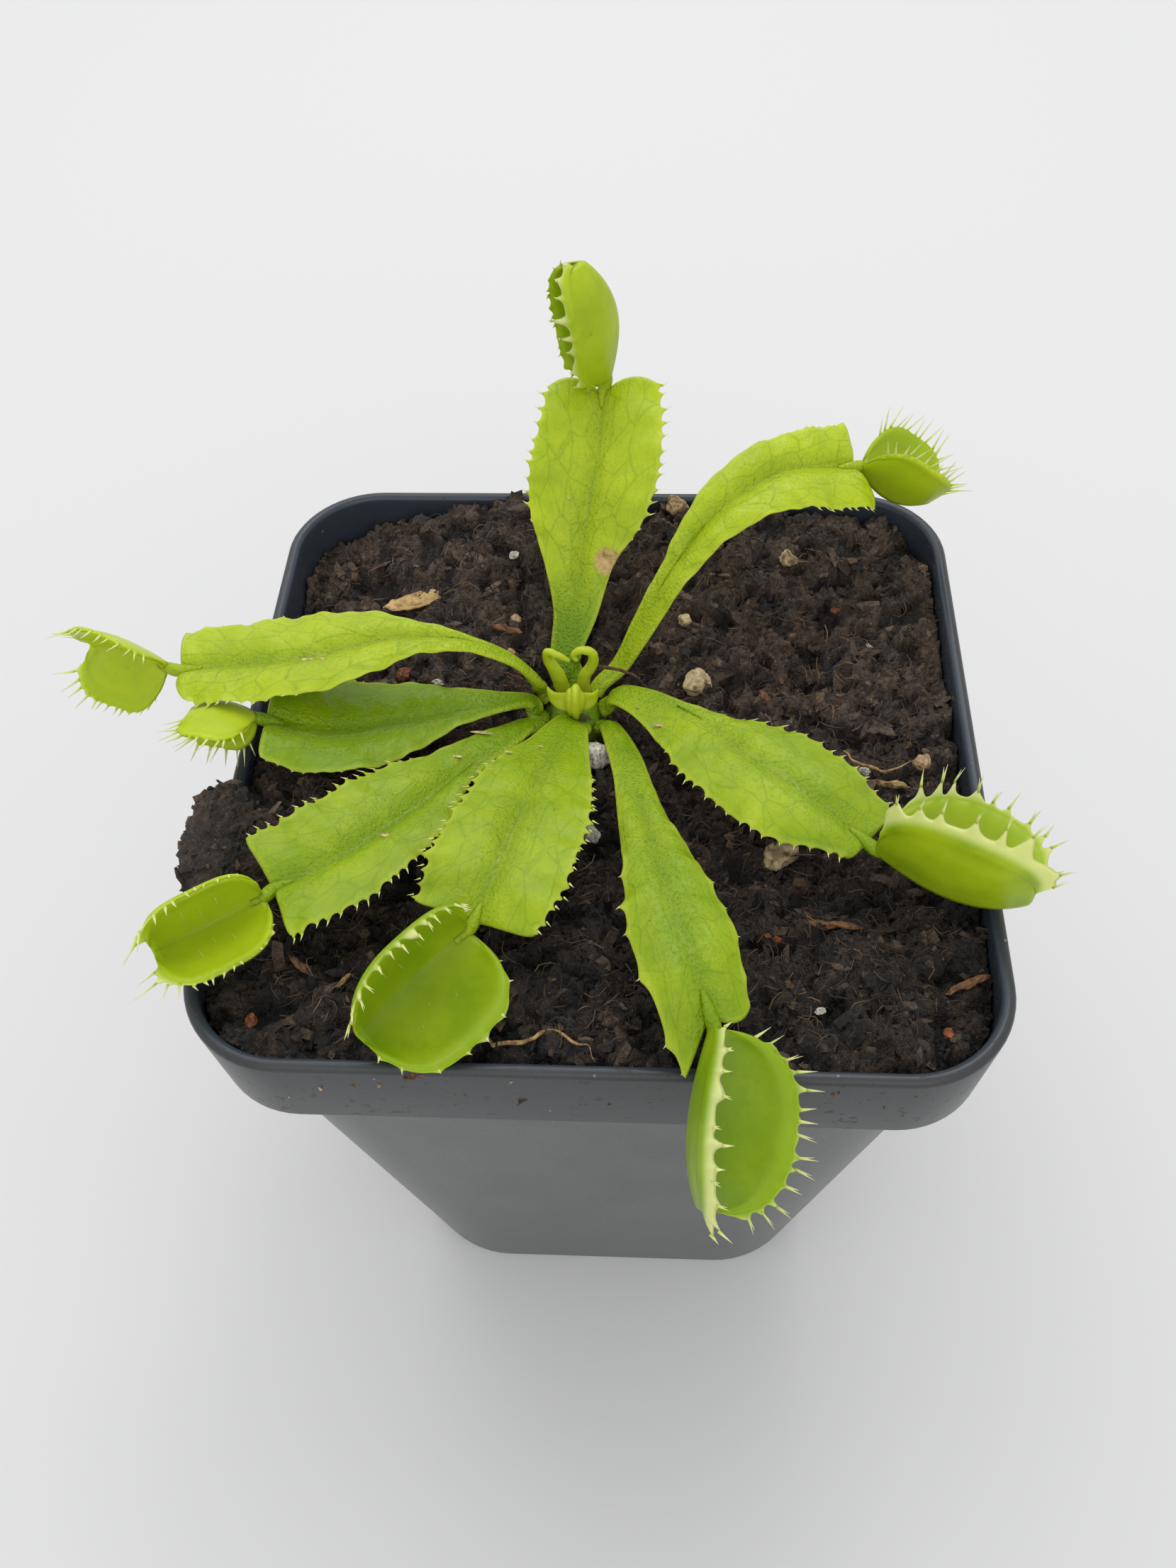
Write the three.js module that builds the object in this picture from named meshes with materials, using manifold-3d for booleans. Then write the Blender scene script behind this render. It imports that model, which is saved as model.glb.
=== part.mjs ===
// A young venus flytrap in a square nursery pot.
// Millimetres, +Z up. The origin is the centre of the pot's foot, +X is right and +Y is the back.
import * as THREE from 'three';
import Module from 'manifold-3d';
import { mergeVertices } from 'three/addons/utils/BufferGeometryUtils.js';

// Pot: half widths of the square sections, their corner radii, and heights above the table
const POT_HEIGHT = 97;
const RIM_HALF = 45;
const RIM_CORNER = 12;
const COLLAR_HEIGHT = 14;
const COLLAR_FOOT_HALF = 44;
const BODY_TOP_HALF = 41.5;
const FOOT_HALF = 31.5;
const FOOT_CORNER = 15;
const WALL = 1;
const SHELF_FOOT = 0.6;
const SHELF_RISE = 2;
const FLOOR = 1.4;
const FOOT_ROUND = 0.7;
const RIM_ROLL = 0.8;
const DRAIN_RADIUS = 3.5;
const DRAIN_SPREAD = 19;
const CORNER_STEPS = 6;

// Gap that two pieces keep where they rest on each other
const SEAT = 0.3;

// Crown: the point that all leaves grow out of, and the knob of the rhizome under it
const CROWN = new THREE.Vector3(-4.5, 10, 87);
const KNOB_RADIUS = 4.5;
const STALK_SEAT = 0.5;
const ROOT_STRAIGHT = 1.5;
const RHIZOME_DEPTH = 30;
const ROOT_DEPTH = 62;
const ROOT_COUNT = 5;
const HOLE_RADIUS = 4.9;

// Soil: its usual level, and its mounds as x, y, height and reach
const SOIL_LEVEL = 93;
const SOIL_RINGS = 14;
const SOIL_SIDE_STEPS = 8;
const CROWN_DIP = 6;
const CROWN_DIP_REACH = 9.5;
const MOUNDS = [
  { x: -40, y: -14, height: 6, reach: 10.5 },
  { x: -38, y: 30, height: -2.5, reach: 10 },
  { x: -36, y: -38, height: 2.4, reach: 12 },
  { x: -14, y: 42, height: 4.2, reach: 15 },
  { x: 16, y: 42, height: 4, reach: 15 },
  { x: 43, y: 6, height: -3, reach: 12 },
  { x: 41, y: -22, height: -2, reach: 9 },
  { x: 0, y: -42, height: 3, reach: 17 },
  { x: 33, y: -40, height: 2.6, reach: 11 },
];
const SPILL = { x: -44.5, y: -17, z: 97.3, reach: [4.2, 8.8, 3.4] };

// Perlite grains and bark chips that stand out of the soil, as x, y, half length, half width, turn
const GRAINS = [
  { x: -1.4, y: 3.2, length: 1.7, width: 1.5, turn: 0.4 },
  { x: -1.6, y: -6.2, length: 1.2, width: 1, turn: 1.1 },
  { x: 11.4, y: 13.6, length: 1.6, width: 1.3, turn: 1.9 },
  { x: 25, y: -7, length: 2.3, width: 1.2, turn: 0.2 },
  { x: 25.5, y: 31.5, length: 1.4, width: 1.1, turn: 0 },
  { x: 6, y: 41, length: 2.6, width: 1.4, turn: 0 },
  { x: -28, y: 22.5, length: 4.6, width: 1.6, turn: 0.3 },
];

// Blades: thickness at the margin, along the midrib, and where the stalk leaves the crown
const MARGIN_THICKNESS = 0.6;
const MIDRIB_THICKNESS = 1;
const STALK_THICKNESS = 1.9;
const BLADE_ROWS = 14;
const BLADE_COLUMNS = [-1, -0.66, -0.3, 0, 0.3, 0.66, 1];
const TRAP_THICKNESS = 0.7;
const TRAP_ROWS = 20;
const TRAP_COLUMNS = [-1, -0.72, -0.36, 0, 0.36, 0.72, 1];
const NECK_RADIUS = 0.8;
const NECK_END_RADIUS = 0.5;
const TOOTH_REACH = 1.1;
const TOOTH_LEAN = 0.3;

// Leaves. root is the heading and the rise of the stalk where it leaves the knob, in degrees, and
// the spine is where it runs from there to the neck. left and right are the half widths of the
// blade at even stations from the knob to the neck, to either side as seen from the crown. roll
// leans the blade about its spine (start, end; right side down), fold lifts both of its halves,
// shoulder is how far its rounded end reaches past the neck, and teeth is the part of its length
// that has none.
// A trap has its hinge from base to tip and opens towards open. bow bends the hinge the other way,
// depth is the reach of a lobe, and left and right are how far each lobe leans away from open, at
// the hinge and at the rim, in degrees. cilia is the length of the marginal teeth, left and right.
const LEAVES = [
  {
    name: 'leaf_back',
    root: [95, 40],
    spine: [
      [-5.8, 16.4, 93.2], [-4.5, 21.6, 97], [-3.8, 27.9, 102.5],
      [-2.5, 33.5, 108], [-1.6, 40, 112.5], [-1.5, 44.5, 114.5],
    ],
    left: [1.6, 2.6, 4.6, 8, 8.2, 7],
    right: [1.6, 2.6, 4.2, 7.8, 8.4, 7.4],
    roll: [0, 0],
    fold: 8,
    shoulder: 1.4,
    teeth: 0.5,
    trap: {
      base: [-0.9, 45, 116],
      tip: [-3, 48, 131.5],
      open: [-0.9, -0.45, 0.1],
      bow: 2.4,
      depth: 8,
      left: [65, -12],
      right: [65, -12],
      cilia: [1.6, 1.6],
    },
  },
  {
    name: 'leaf_back_right',
    root: [48, 40],
    spine: [
      [1.2, 15.4, 92.6], [4.2, 17.4, 98], [7.6, 20.2, 105],
      [12.4, 24.4, 110], [21, 31.8, 111.5], [31.9, 37, 108.5],
    ],
    left: [1.1, 1.8, 1.7, 3.8, 4.9, 6],
    right: [1.1, 1.8, 3, 4.5, 6.9, 7],
    roll: [0, 20],
    fold: 8,
    shoulder: 0,
    teeth: 0.75,
    trap: {
      base: [32.5, 37.4, 108],
      tip: [42.5, 36, 101],
      open: [0.58, 0.23, 0.78],
      bow: 1.2,
      depth: 10,
      left: [55, 15],
      right: [55, 15],
      cilia: [2.8, 2.8],
    },
  },
  {
    name: 'leaf_left_upper',
    root: [152, 42],
    spine: [
      [-9.1, 10.6, 94.9], [-11.9, 9.4, 100.6], [-18, 8.7, 105],
      [-24.7, 7.6, 106.5], [-37, 4.4, 106], [-52.3, 4.6, 103.5],
    ],
    left: [1.1, 1.1, 2.5, 5.4, 6, 5.6],
    right: [1.1, 0.9, 1.7, 6.1, 7, 6.3],
    roll: [0, 0],
    fold: 0,
    shoulder: 0,
    teeth: 0.7,
    trap: {
      base: [-53.6, 4.8, 103.5],
      tip: [-63.4, 9, 104],
      open: [-0.39, -0.9, 0.2],
      bow: 0.8,
      depth: 8.5,
      left: [60, 30],
      right: [60, 30],
      cilia: [2.4, 2.4],
    },
  },
  {
    name: 'leaf_left_middle',
    root: [199, 38],
    spine: [
      [-10, 8.9, 92.8], [-13.5, 6.7, 95.2], [-18.9, 4, 97],
      [-25.6, 1.5, 97.8], [-33.6, -1.7, 99.9], [-40.7, -1.7, 101.8],
    ],
    left: [1.1, 1.3, 2.9, 6, 6.7, 6],
    right: [1.1, 2.3, 4.5, 7.1, 8.5, 7.6],
    roll: [0, 0],
    fold: 0,
    shoulder: 0,
    teeth: 0.6,
    trap: {
      base: [-41.6, -1.8, 102.1],
      tip: [-49.4, -0.4, 102.7],
      open: [-0.3, -0.9, -0.25],
      bow: 0.8,
      depth: 6.6,
      left: [30, 10],
      right: [50, 20],
      cilia: [2.4, 2.4],
    },
  },
  {
    name: 'leaf_left_lower',
    root: [234, 34],
    spine: [
      [-9.8, 5.8, 91.6], [-12.3, 1.4, 94.6], [-17.1, -5.9, 97.2],
      [-23.4, -14.9, 99.6], [-29.6, -21.4, 100.8], [-35.9, -25.1, 100.6],
    ],
    left: [1.1, 1.7, 2.1, 5.2, 7, 7.6],
    right: [1.1, 2.7, 4.4, 7.1, 7.7, 7],
    roll: [0, 0],
    fold: 10,
    shoulder: 0,
    teeth: 0.45,
    trap: {
      base: [-36.6, -26.2, 100.6],
      tip: [-47.5, -33, 100],
      open: [0.25, -0.5, 0.83],
      bow: 1.4,
      depth: 8,
      left: [72, 5],
      right: [72, -20],
      cilia: [3, 1.8],
    },
  },
  {
    name: 'leaf_front_left',
    root: [274, 48],
    spine: [
      [-4.6, 5.4, 92.8], [-6, -0.5, 95.4], [-7.8, -7.8, 98.5],
      [-9.8, -17, 101.3], [-11.4, -23.8, 102], [-13.2, -28.7, 100.5],
    ],
    left: [2, 3.8, 6.4, 8, 8.2, 7.2],
    right: [2, 3.7, 6, 6.7, 7.4, 6.9],
    roll: [0, 0],
    fold: 4,
    shoulder: 0,
    teeth: 0.35,
    trap: {
      base: [-13.8, -29.4, 99.8],
      tip: [-24.6, -42.2, 99.8],
      open: [0.52, -0.4, 0.75],
      bow: 1.2,
      depth: 10.5,
      left: [72, 22],
      right: [72, -6],
      cilia: [1.2, 3],
    },
  },
  {
    name: 'leaf_front_right',
    root: [324, 34],
    spine: [
      [0.4, 5.4, 92.4], [3.2, -4.2, 97], [5.3, -15.2, 100.5],
      [8, -26.6, 103.5], [10.2, -35.7, 104.5], [11.9, -42.4, 102],
    ],
    left: [1.1, 1.7, 2.2, 4.2, 5.6, 4.6],
    right: [1.1, 2, 2.8, 3.9, 5.6, 4.3],
    roll: [0, 0],
    fold: -14,
    shoulder: 1,
    teeth: 0.55,
    trap: {
      base: [12, -43.5, 101.4],
      tip: [10.4, -57.4, 94.6],
      open: [0.75, -0.36, 0.55],
      bow: 1.2,
      depth: 10,
      left: [58, 12],
      right: [58, 12],
      cilia: [3.6, 3.6],
    },
  },
  {
    name: 'leaf_right',
    root: [4, 42],
    spine: [
      [1.4, 9.8, 94], [4.8, 7.4, 96.4], [11.1, 1.5, 99.5],
      [16.5, -5.9, 102], [23.5, -12.1, 102.5], [30.1, -17.4, 100.5],
    ],
    left: [1.4, 1.2, 1.8, 6.4, 7.2, 6],
    right: [1.4, 3.4, 6, 7, 7.3, 3],
    roll: [0, 0],
    fold: -8,
    shoulder: 0,
    teeth: 0.42,
    trap: {
      base: [31, -18.2, 100.2],
      tip: [46.4, -26, 100],
      open: [0.3, 0.49, 0.82],
      bow: 1.6,
      depth: 11,
      left: [62, 14],
      right: [62, 14],
      cilia: [3.6, 4],
    },
  },
];

// Young leaves in the middle of the crown, as a spine with the half width at each of its points
const YOUNG_LEAVES = [
  {
    name: 'young_leaf_left',
    spine: [
      [-5.9, 12.1, 91.4], [-6.6, 12.4, 94.2], [-7.8, 12.4, 97.8],
      [-7.5, 12, 99.4], [-5.3, 11.9, 98.3],
    ],
    radii: [1, 1.1, 1.1, 0.9, 0.5],
  },
  {
    name: 'young_leaf_right',
    spine: [
      [-3.3, 12.1, 91.6], [-3.3, 12.2, 94.6], [-2.8, 12.3, 97.4],
      [-2.4, 12.1, 99.6], [-4.4, 11.9, 99.4],
    ],
    radii: [1, 0.9, 1, 1.2, 0.7],
  },
];
const BUD = { at: [-4.1, 7.4, 94.4], radii: [1.7, 1.4, 2.1], wingSpan: 3.8, stalk: [-4.4, 9.2, 91.8] };

// Colours
const POT_PLASTIC = { color: 0x646667, roughness: 0.5, metalness: 0 };
const PEAT = { color: 0x2a2019, roughness: 0.95, metalness: 0 };
const RHIZOME = { color: 0xd8cfae, roughness: 0.7, metalness: 0 };
const LEAF = { color: 0x9ac031, roughness: 0.45, metalness: 0 };
const YOUNG = { color: 0xb4c63a, roughness: 0.5, metalness: 0 };

const wasm = await Module();
wasm.setup();

// Triangles gathered point by point into one closed surface
class Surface {
  constructor() {
    this.points = [];
    this.faces = [];
  }

  add(point) {
    this.points.push(point.clone());
    return this.points.length - 1;
  }

  triangle(a, b, c) {
    this.faces.push(a, b, c);
  }

  quad(a, b, c, d) {
    this.triangle(a, b, c);
    this.triangle(a, c, d);
  }

  geometry() {
    const geometry = new THREE.BufferGeometry().setFromPoints(this.points);
    geometry.setIndex(this.faces);
    return geometry;
  }
}

// Manifold solid of a closed geometry, with only its positions kept
function solidOf(geometry) {
  const bare = geometry.clone();
  bare.deleteAttribute('normal');
  bare.deleteAttribute('uv');
  const merged = mergeVertices(bare, 1e-4);
  return new wasm.Manifold(new wasm.Mesh({
    numProp: 3,
    vertProperties: new Float32Array(merged.attributes.position.array),
    triVerts: new Uint32Array(merged.index.array),
  }));
}

// Geometry of a manifold solid
function geometryOf(solid) {
  const mesh = solid.getMesh();
  const geometry = new THREE.BufferGeometry();
  geometry.setAttribute('position', new THREE.BufferAttribute(new Float32Array(mesh.vertProperties), 3));
  geometry.setIndex(new THREE.BufferAttribute(new Uint32Array(mesh.triVerts), 1));
  return geometry;
}

function join(geometries) {
  const solids = geometries.map(solidOf);
  return geometryOf(solids.reduce((whole, solid) => whole.add(solid)));
}

function vector(triple) {
  return new THREE.Vector3(...triple);
}

// A number that runs smoothly through evenly spaced values
function along(values, t) {
  const curve = new THREE.SplineCurve(values.map((value, i) => new THREE.Vector2(i, value)));
  return curve.getPoint(t).y;
}

// Closed body through a stack of rings with the same number of points, counted anticlockwise
// from above and going up, with a flat cap at each end
function skin(rings) {
  const surface = new Surface();
  const count = rings[0].length;
  const indices = rings.map((ring) => ring.map((point) => surface.add(point)));
  for (let k = 0; k + 1 < rings.length; k += 1) {
    for (let i = 0; i < count; i += 1) {
      const next = (i + 1) % count;
      surface.quad(indices[k][i], indices[k][next], indices[k + 1][next], indices[k + 1][i]);
    }
  }
  const ends = [indices[0].slice().reverse(), indices[rings.length - 1]];
  for (const [which, end] of ends.entries()) {
    const ring = which === 0 ? rings[0] : rings[rings.length - 1];
    const middle = ring.reduce((sum, point) => sum.add(point), new THREE.Vector3());
    const hub = surface.add(middle.divideScalar(count));
    for (let i = 0; i < count; i += 1) {
      surface.triangle(hub, end[i], end[(i + 1) % count]);
    }
  }
  return surface.geometry();
}

// Square section with round corners, as a ring of points
function squareRing(half, corner, z, steps = CORNER_STEPS) {
  const ring = [];
  for (let quarter = 0; quarter < 4; quarter += 1) {
    const centreX = quarter === 0 || quarter === 3 ? half - corner : corner - half;
    const centreY = quarter < 2 ? half - corner : corner - half;
    for (let i = 0; i <= steps; i += 1) {
      const angle = (quarter + i / steps) * Math.PI / 2;
      const x = centreX + corner * Math.cos(angle);
      const y = centreY + corner * Math.sin(angle);
      ring.push(new THREE.Vector3(x, y, z));
    }
  }
  return ring;
}

// The pot's sections, from the middle of its foot up the outside, over the rim and down inside
function potGeometry() {
  const shelf = POT_HEIGHT - COLLAR_HEIGHT;
  const rimInner = RIM_HALF - 2 * RIM_ROLL;
  const rings = [
    squareRing(FOOT_HALF - FOOT_ROUND, FOOT_CORNER - FOOT_ROUND, 0),
    squareRing(FOOT_HALF, FOOT_CORNER, FOOT_ROUND),
    squareRing(BODY_TOP_HALF, RIM_CORNER, shelf),
    squareRing(COLLAR_FOOT_HALF, RIM_CORNER - 1, shelf),
  ];
  for (let i = 0; i <= CORNER_STEPS; i += 1) {
    const angle = Math.PI * i / CORNER_STEPS;
    const half = RIM_HALF - RIM_ROLL + RIM_ROLL * Math.cos(angle);
    const z = POT_HEIGHT - RIM_ROLL + RIM_ROLL * Math.sin(angle);
    rings.push(squareRing(half, RIM_CORNER - RIM_HALF + half, z));
  }
  const inside = [
    squareRing(rimInner, RIM_CORNER - 2 * RIM_ROLL, shelf + SHELF_FOOT + SHELF_RISE),
    squareRing(BODY_TOP_HALF - WALL, RIM_CORNER - WALL, shelf + SHELF_FOOT),
    squareRing(FOOT_HALF - WALL, FOOT_CORNER - WALL, FLOOR),
  ];
  rings.push(...inside);
  let pot = solidOf(skin(rings));
  for (const [x, y] of [[1, 1], [-1, 1], [-1, -1], [1, -1]]) {
    const drill = new THREE.CylinderGeometry(DRAIN_RADIUS, DRAIN_RADIUS, 4 * FLOOR, 12);
    drill.rotateX(Math.PI / 2);
    drill.translate(x * DRAIN_SPREAD, y * DRAIN_SPREAD, 0);
    pot = pot.subtract(solidOf(drill));
  }
  return geometryOf(pot);
}

// Gentle lumps of the soil's surface, the same on every run
function lumps(x, y) {
  const broad = Math.sin(0.31 * x + 1.3) * Math.cos(0.27 * y - 0.6);
  const middle = Math.sin(0.83 * x - 0.47 * y + 2.1) * Math.cos(0.71 * y + 0.39 * x);
  const fine = Math.sin(2.3 * x + 1.7 * y) * Math.cos(1.9 * x - 2.6 * y + 0.8);
  return 0.7 * broad + 0.5 * middle + 0.3 * fine;
}

function bell(distance, reach) {
  return Math.exp(-distance * distance / (reach * reach));
}

function grainRise(x, y) {
  let rise = 0;
  for (const grain of GRAINS) {
    const dx = x - grain.x;
    const dy = y - grain.y;
    const u = (dx * Math.cos(grain.turn) + dy * Math.sin(grain.turn)) / grain.length;
    const v = (dy * Math.cos(grain.turn) - dx * Math.sin(grain.turn)) / grain.width;
    rise = Math.max(rise, grain.width * Math.sqrt(Math.max(0, 1 - u * u - v * v)));
  }
  return rise;
}

// Height of the soil above the table
function soilHeight(x, y) {
  let z = SOIL_LEVEL + lumps(x, y);
  for (const mound of MOUNDS) {
    z += mound.height * bell(Math.hypot(x - mound.x, y - mound.y), mound.reach);
  }
  const fromCrown = Math.hypot(x - CROWN.x, y - CROWN.y);
  const dip = bell(fromCrown, CROWN_DIP_REACH);
  z = z * (1 - dip) + (SOIL_LEVEL - CROWN_DIP) * dip;
  return z + grainRise(x, y);
}

// Section of the pot's inside at a height, one seat clear of its wall, with points along its sides
function soilSection(z) {
  const shelf = POT_HEIGHT - COLLAR_HEIGHT + SHELF_FOOT;
  const share = Math.min(1, (z - FLOOR) / (shelf - FLOOR));
  let half = THREE.MathUtils.lerp(FOOT_HALF, BODY_TOP_HALF, share) - WALL - SEAT;
  let corner = THREE.MathUtils.lerp(FOOT_CORNER, RIM_CORNER, share) - WALL;
  if (z > shelf + SHELF_RISE) {
    half = RIM_HALF - 2 * RIM_ROLL - SEAT;
    corner = RIM_CORNER - 2 * RIM_ROLL;
  }
  const corners = squareRing(half, corner, z);
  const ring = [];
  for (const [i, point] of corners.entries()) {
    ring.push(point);
    if (i % (CORNER_STEPS + 1) === CORNER_STEPS) {
      const next = corners[(i + 1) % corners.length];
      for (let k = 1; k < SOIL_SIDE_STEPS; k += 1) {
        ring.push(point.clone().lerp(next, k / SOIL_SIDE_STEPS));
      }
    }
  }
  return ring;
}

function soilGeometry() {
  const shelf = POT_HEIGHT - COLLAR_HEIGHT + SHELF_FOOT + SEAT;
  const heights = [FLOOR + SEAT, shelf, shelf + SHELF_RISE];
  const rings = heights.map(soilSection);
  const edge = rings[rings.length - 1];
  for (let k = SOIL_RINGS; k >= 1; k -= 1) {
    const share = k / SOIL_RINGS;
    rings.push(edge.map((point) => {
      const x = CROWN.x + (point.x - CROWN.x) * share;
      const y = CROWN.y + (point.y - CROWN.y) * share;
      return new THREE.Vector3(x, y, soilHeight(x, y));
    }));
  }
  const heap = solidOf(skin(rings)).add(solidOf(spillGeometry()));
  return geometryOf(heap.subtract(solidOf(rhizomeHole())));
}

// The clod that has spilled over the rim on the left, flat where it lies on the rim
function spillGeometry() {
  const [reachX, reachY, reachZ] = SPILL.reach;
  const sides = 16;
  const rings = [];
  for (let k = 0; k <= 4; k += 1) {
    const lift = k / 5;
    const spread = Math.sqrt(1 - lift * lift);
    const ring = [];
    for (let i = 0; i < sides; i += 1) {
      const angle = 2 * Math.PI * i / sides;
      const rough = 1 + 0.12 * Math.sin(5 * angle + 2 * k);
      const x = SPILL.x + reachX * spread * rough * Math.cos(angle);
      const y = SPILL.y + reachY * spread * rough * Math.sin(angle);
      ring.push(new THREE.Vector3(x, y, SPILL.z + reachZ * lift));
    }
    rings.push(ring);
  }
  return skin(rings);
}

function circleRing(centre, radius, sides) {
  const ring = [];
  for (let i = 0; i < sides; i += 1) {
    const angle = 2 * Math.PI * i / sides;
    const x = centre.x + radius * Math.cos(angle);
    const y = centre.y + radius * Math.sin(angle);
    ring.push(new THREE.Vector3(x, y, centre.z));
  }
  return ring;
}

// Plain hole in the soil that the rhizome and its roots stand in
function rhizomeHole() {
  const foot = new THREE.Vector3(CROWN.x, CROWN.y, CROWN.z - ROOT_DEPTH - SEAT);
  const mouth = new THREE.Vector3(CROWN.x, CROWN.y, POT_HEIGHT);
  return skin([circleRing(foot, HOLE_RADIUS, 16), circleRing(mouth, HOLE_RADIUS, 16)]);
}

// The rhizome's knob and taper, with its roots hanging from it
function rhizomeGeometry() {
  const sides = 14;
  const profile = [
    [-RHIZOME_DEPTH, 2.6],
    [-20, 3.8],
    [-10, KNOB_RADIUS],
    [-4, KNOB_RADIUS],
  ];
  for (const latitude of [0, 20, 40, 60, 80]) {
    const angle = THREE.MathUtils.degToRad(latitude);
    profile.push([KNOB_RADIUS * Math.sin(angle), KNOB_RADIUS * Math.cos(angle)]);
  }
  const rings = profile.map(([rise, radius]) => {
    const centre = new THREE.Vector3(CROWN.x, CROWN.y, CROWN.z + rise);
    return circleRing(centre, radius, sides);
  });
  const pieces = [skin(rings)];
  for (let i = 0; i < ROOT_COUNT; i += 1) {
    const angle = 2 * Math.PI * i / ROOT_COUNT;
    const spread = [1, 2.2, 3.4, 2.8];
    const points = spread.map((reach, k) => {
      const turn = angle + 0.25 * k;
      const drop = THREE.MathUtils.lerp(RHIZOME_DEPTH - 6, ROOT_DEPTH, k / (spread.length - 1));
      const x = CROWN.x + reach * Math.cos(turn);
      const y = CROWN.y + reach * Math.sin(turn);
      return new THREE.Vector3(x, y, CROWN.z - drop);
    });
    pieces.push(tube(points, [1.1, 1, 0.8, 0.5], 6));
  }
  return join(pieces);
}

// Round tube along a smooth curve, its radius running through the radii
function tube(points, radii, sides, steps = 8) {
  const curve = new THREE.CatmullRomCurve3(points);
  const frames = curve.computeFrenetFrames(steps, false);
  const rings = [];
  for (let k = 0; k <= steps; k += 1) {
    const centre = curve.getPointAt(k / steps);
    const radius = along(radii, k / steps);
    const ring = [];
    for (let i = 0; i < sides; i += 1) {
      const angle = 2 * Math.PI * i / sides;
      const point = centre.clone();
      point.addScaledVector(frames.normals[k], radius * Math.cos(angle));
      point.addScaledVector(frames.binormals[k], radius * Math.sin(angle));
      ring.push(point);
    }
    rings.push(ring);
  }
  return skin(rings);
}

// Solid of a sheet. grid holds the points of its middle surface, row by row from end to end and
// from left to right. spike gives the tip of a tooth on a stretch of the left or right margin.
function sheet(grid, thickness, spike) {
  const surface = new Surface();
  const rows = grid.length;
  const columns = grid[0].length;
  const upper = [];
  const lower = [];
  for (let i = 0; i < rows; i += 1) {
    upper.push([]);
    lower.push([]);
    for (let j = 0; j < columns; j += 1) {
      const ahead = grid[Math.min(i + 1, rows - 1)][j].clone().sub(grid[Math.max(i - 1, 0)][j]);
      const across = grid[i][Math.min(j + 1, columns - 1)].clone().sub(grid[i][Math.max(j - 1, 0)]);
      const normal = across.cross(ahead).normalize().multiplyScalar(thickness(i, j) / 2);
      upper[i].push(surface.add(grid[i][j].clone().add(normal)));
      lower[i].push(surface.add(grid[i][j].clone().sub(normal)));
    }
  }
  for (let i = 0; i + 1 < rows; i += 1) {
    for (let j = 0; j + 1 < columns; j += 1) {
      surface.quad(upper[i][j], upper[i][j + 1], upper[i + 1][j + 1], upper[i + 1][j]);
      surface.triangle(lower[i][j], lower[i + 1][j + 1], lower[i][j + 1]);
      surface.triangle(lower[i][j], lower[i + 1][j], lower[i + 1][j + 1]);
    }
    for (const [side, j] of [[-1, 0], [1, columns - 1]]) {
      const wall = [upper[i][j], upper[i + 1][j], lower[i + 1][j], lower[i][j]];
      if (side > 0) {
        wall.reverse();
      }
      closeWall(surface, wall, spike(i, side));
    }
  }
  for (let j = 0; j + 1 < columns; j += 1) {
    closeWall(surface, [upper[0][j + 1], upper[0][j], lower[0][j], lower[0][j + 1]], null);
    const end = rows - 1;
    closeWall(surface, [upper[end][j], upper[end][j + 1], lower[end][j + 1], lower[end][j]], null);
  }
  return surface.geometry();
}

// Stretch of a margin, flat or drawn out to the tip of a tooth
function closeWall(surface, wall, tip) {
  if (!tip) {
    surface.quad(...wall);
    return;
  }
  const apex = surface.add(tip);
  for (let k = 0; k < 4; k += 1) {
    surface.triangle(wall[k], wall[(k + 1) % 4], apex);
  }
}

// Blade of a leaf, from the crown to its rounded end, with its toothed margins
function bladeGeometry(leaf, curve) {
  const grid = [];
  for (let i = 0; i <= BLADE_ROWS; i += 1) {
    const t = i / BLADE_ROWS;
    const centre = curve.getPointAt(t);
    const ahead = curve.getTangentAt(t);
    const up = new THREE.Vector3(0, 0, 1).addScaledVector(ahead, -ahead.z).normalize();
    up.applyAxisAngle(ahead, THREE.MathUtils.degToRad(THREE.MathUtils.lerp(...leaf.roll, t)));
    const right = ahead.clone().cross(up);
    const lift = THREE.MathUtils.degToRad(leaf.fold * Math.min(1, 2 * t));
    const reach = leaf.shoulder * THREE.MathUtils.smoothstep(t, 0.8, 1);
    grid.push(BLADE_COLUMNS.map((u) => {
      const half = along(u < 0 ? leaf.left : leaf.right, t);
      const point = centre.clone();
      point.addScaledVector(right, u * half * Math.cos(lift));
      point.addScaledVector(up, Math.abs(u) * half * Math.sin(lift));
      point.addScaledVector(ahead, reach * Math.sin(Math.PI * Math.abs(u)));
      return point;
    }));
  }
  const thickness = (i, j) => {
    const stalk = Math.max(0, 1 - 3 * i / BLADE_ROWS);
    const middle = THREE.MathUtils.lerp(MIDRIB_THICKNESS, STALK_THICKNESS, stalk);
    const edge = THREE.MathUtils.lerp(MARGIN_THICKNESS, STALK_THICKNESS / 2, stalk);
    return THREE.MathUtils.lerp(middle, edge, Math.abs(BLADE_COLUMNS[j]));
  };
  const tooth = (i, side) => {
    if ((i + 0.5) / BLADE_ROWS < leaf.teeth) {
      return null;
    }
    const j = side < 0 ? 0 : BLADE_COLUMNS.length - 1;
    const root = grid[i][j].clone().lerp(grid[i + 1][j], 0.6);
    const outward = grid[i][j].clone().sub(grid[i][j - side]).normalize();
    const ahead = grid[i + 1][j].clone().sub(grid[i][j]).normalize();
    return root.addScaledVector(outward, TOOTH_REACH).addScaledVector(ahead, TOOTH_LEAN);
  };
  return sheet(grid, thickness, tooth);
}

// Reach of a trap's lobe along its hinge: it widens at once and stays broad
function lobeReach(s) {
  return Math.max(0.3, (1 - Math.abs(2 * s - 1) ** 4) ** 0.5);
}

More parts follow.
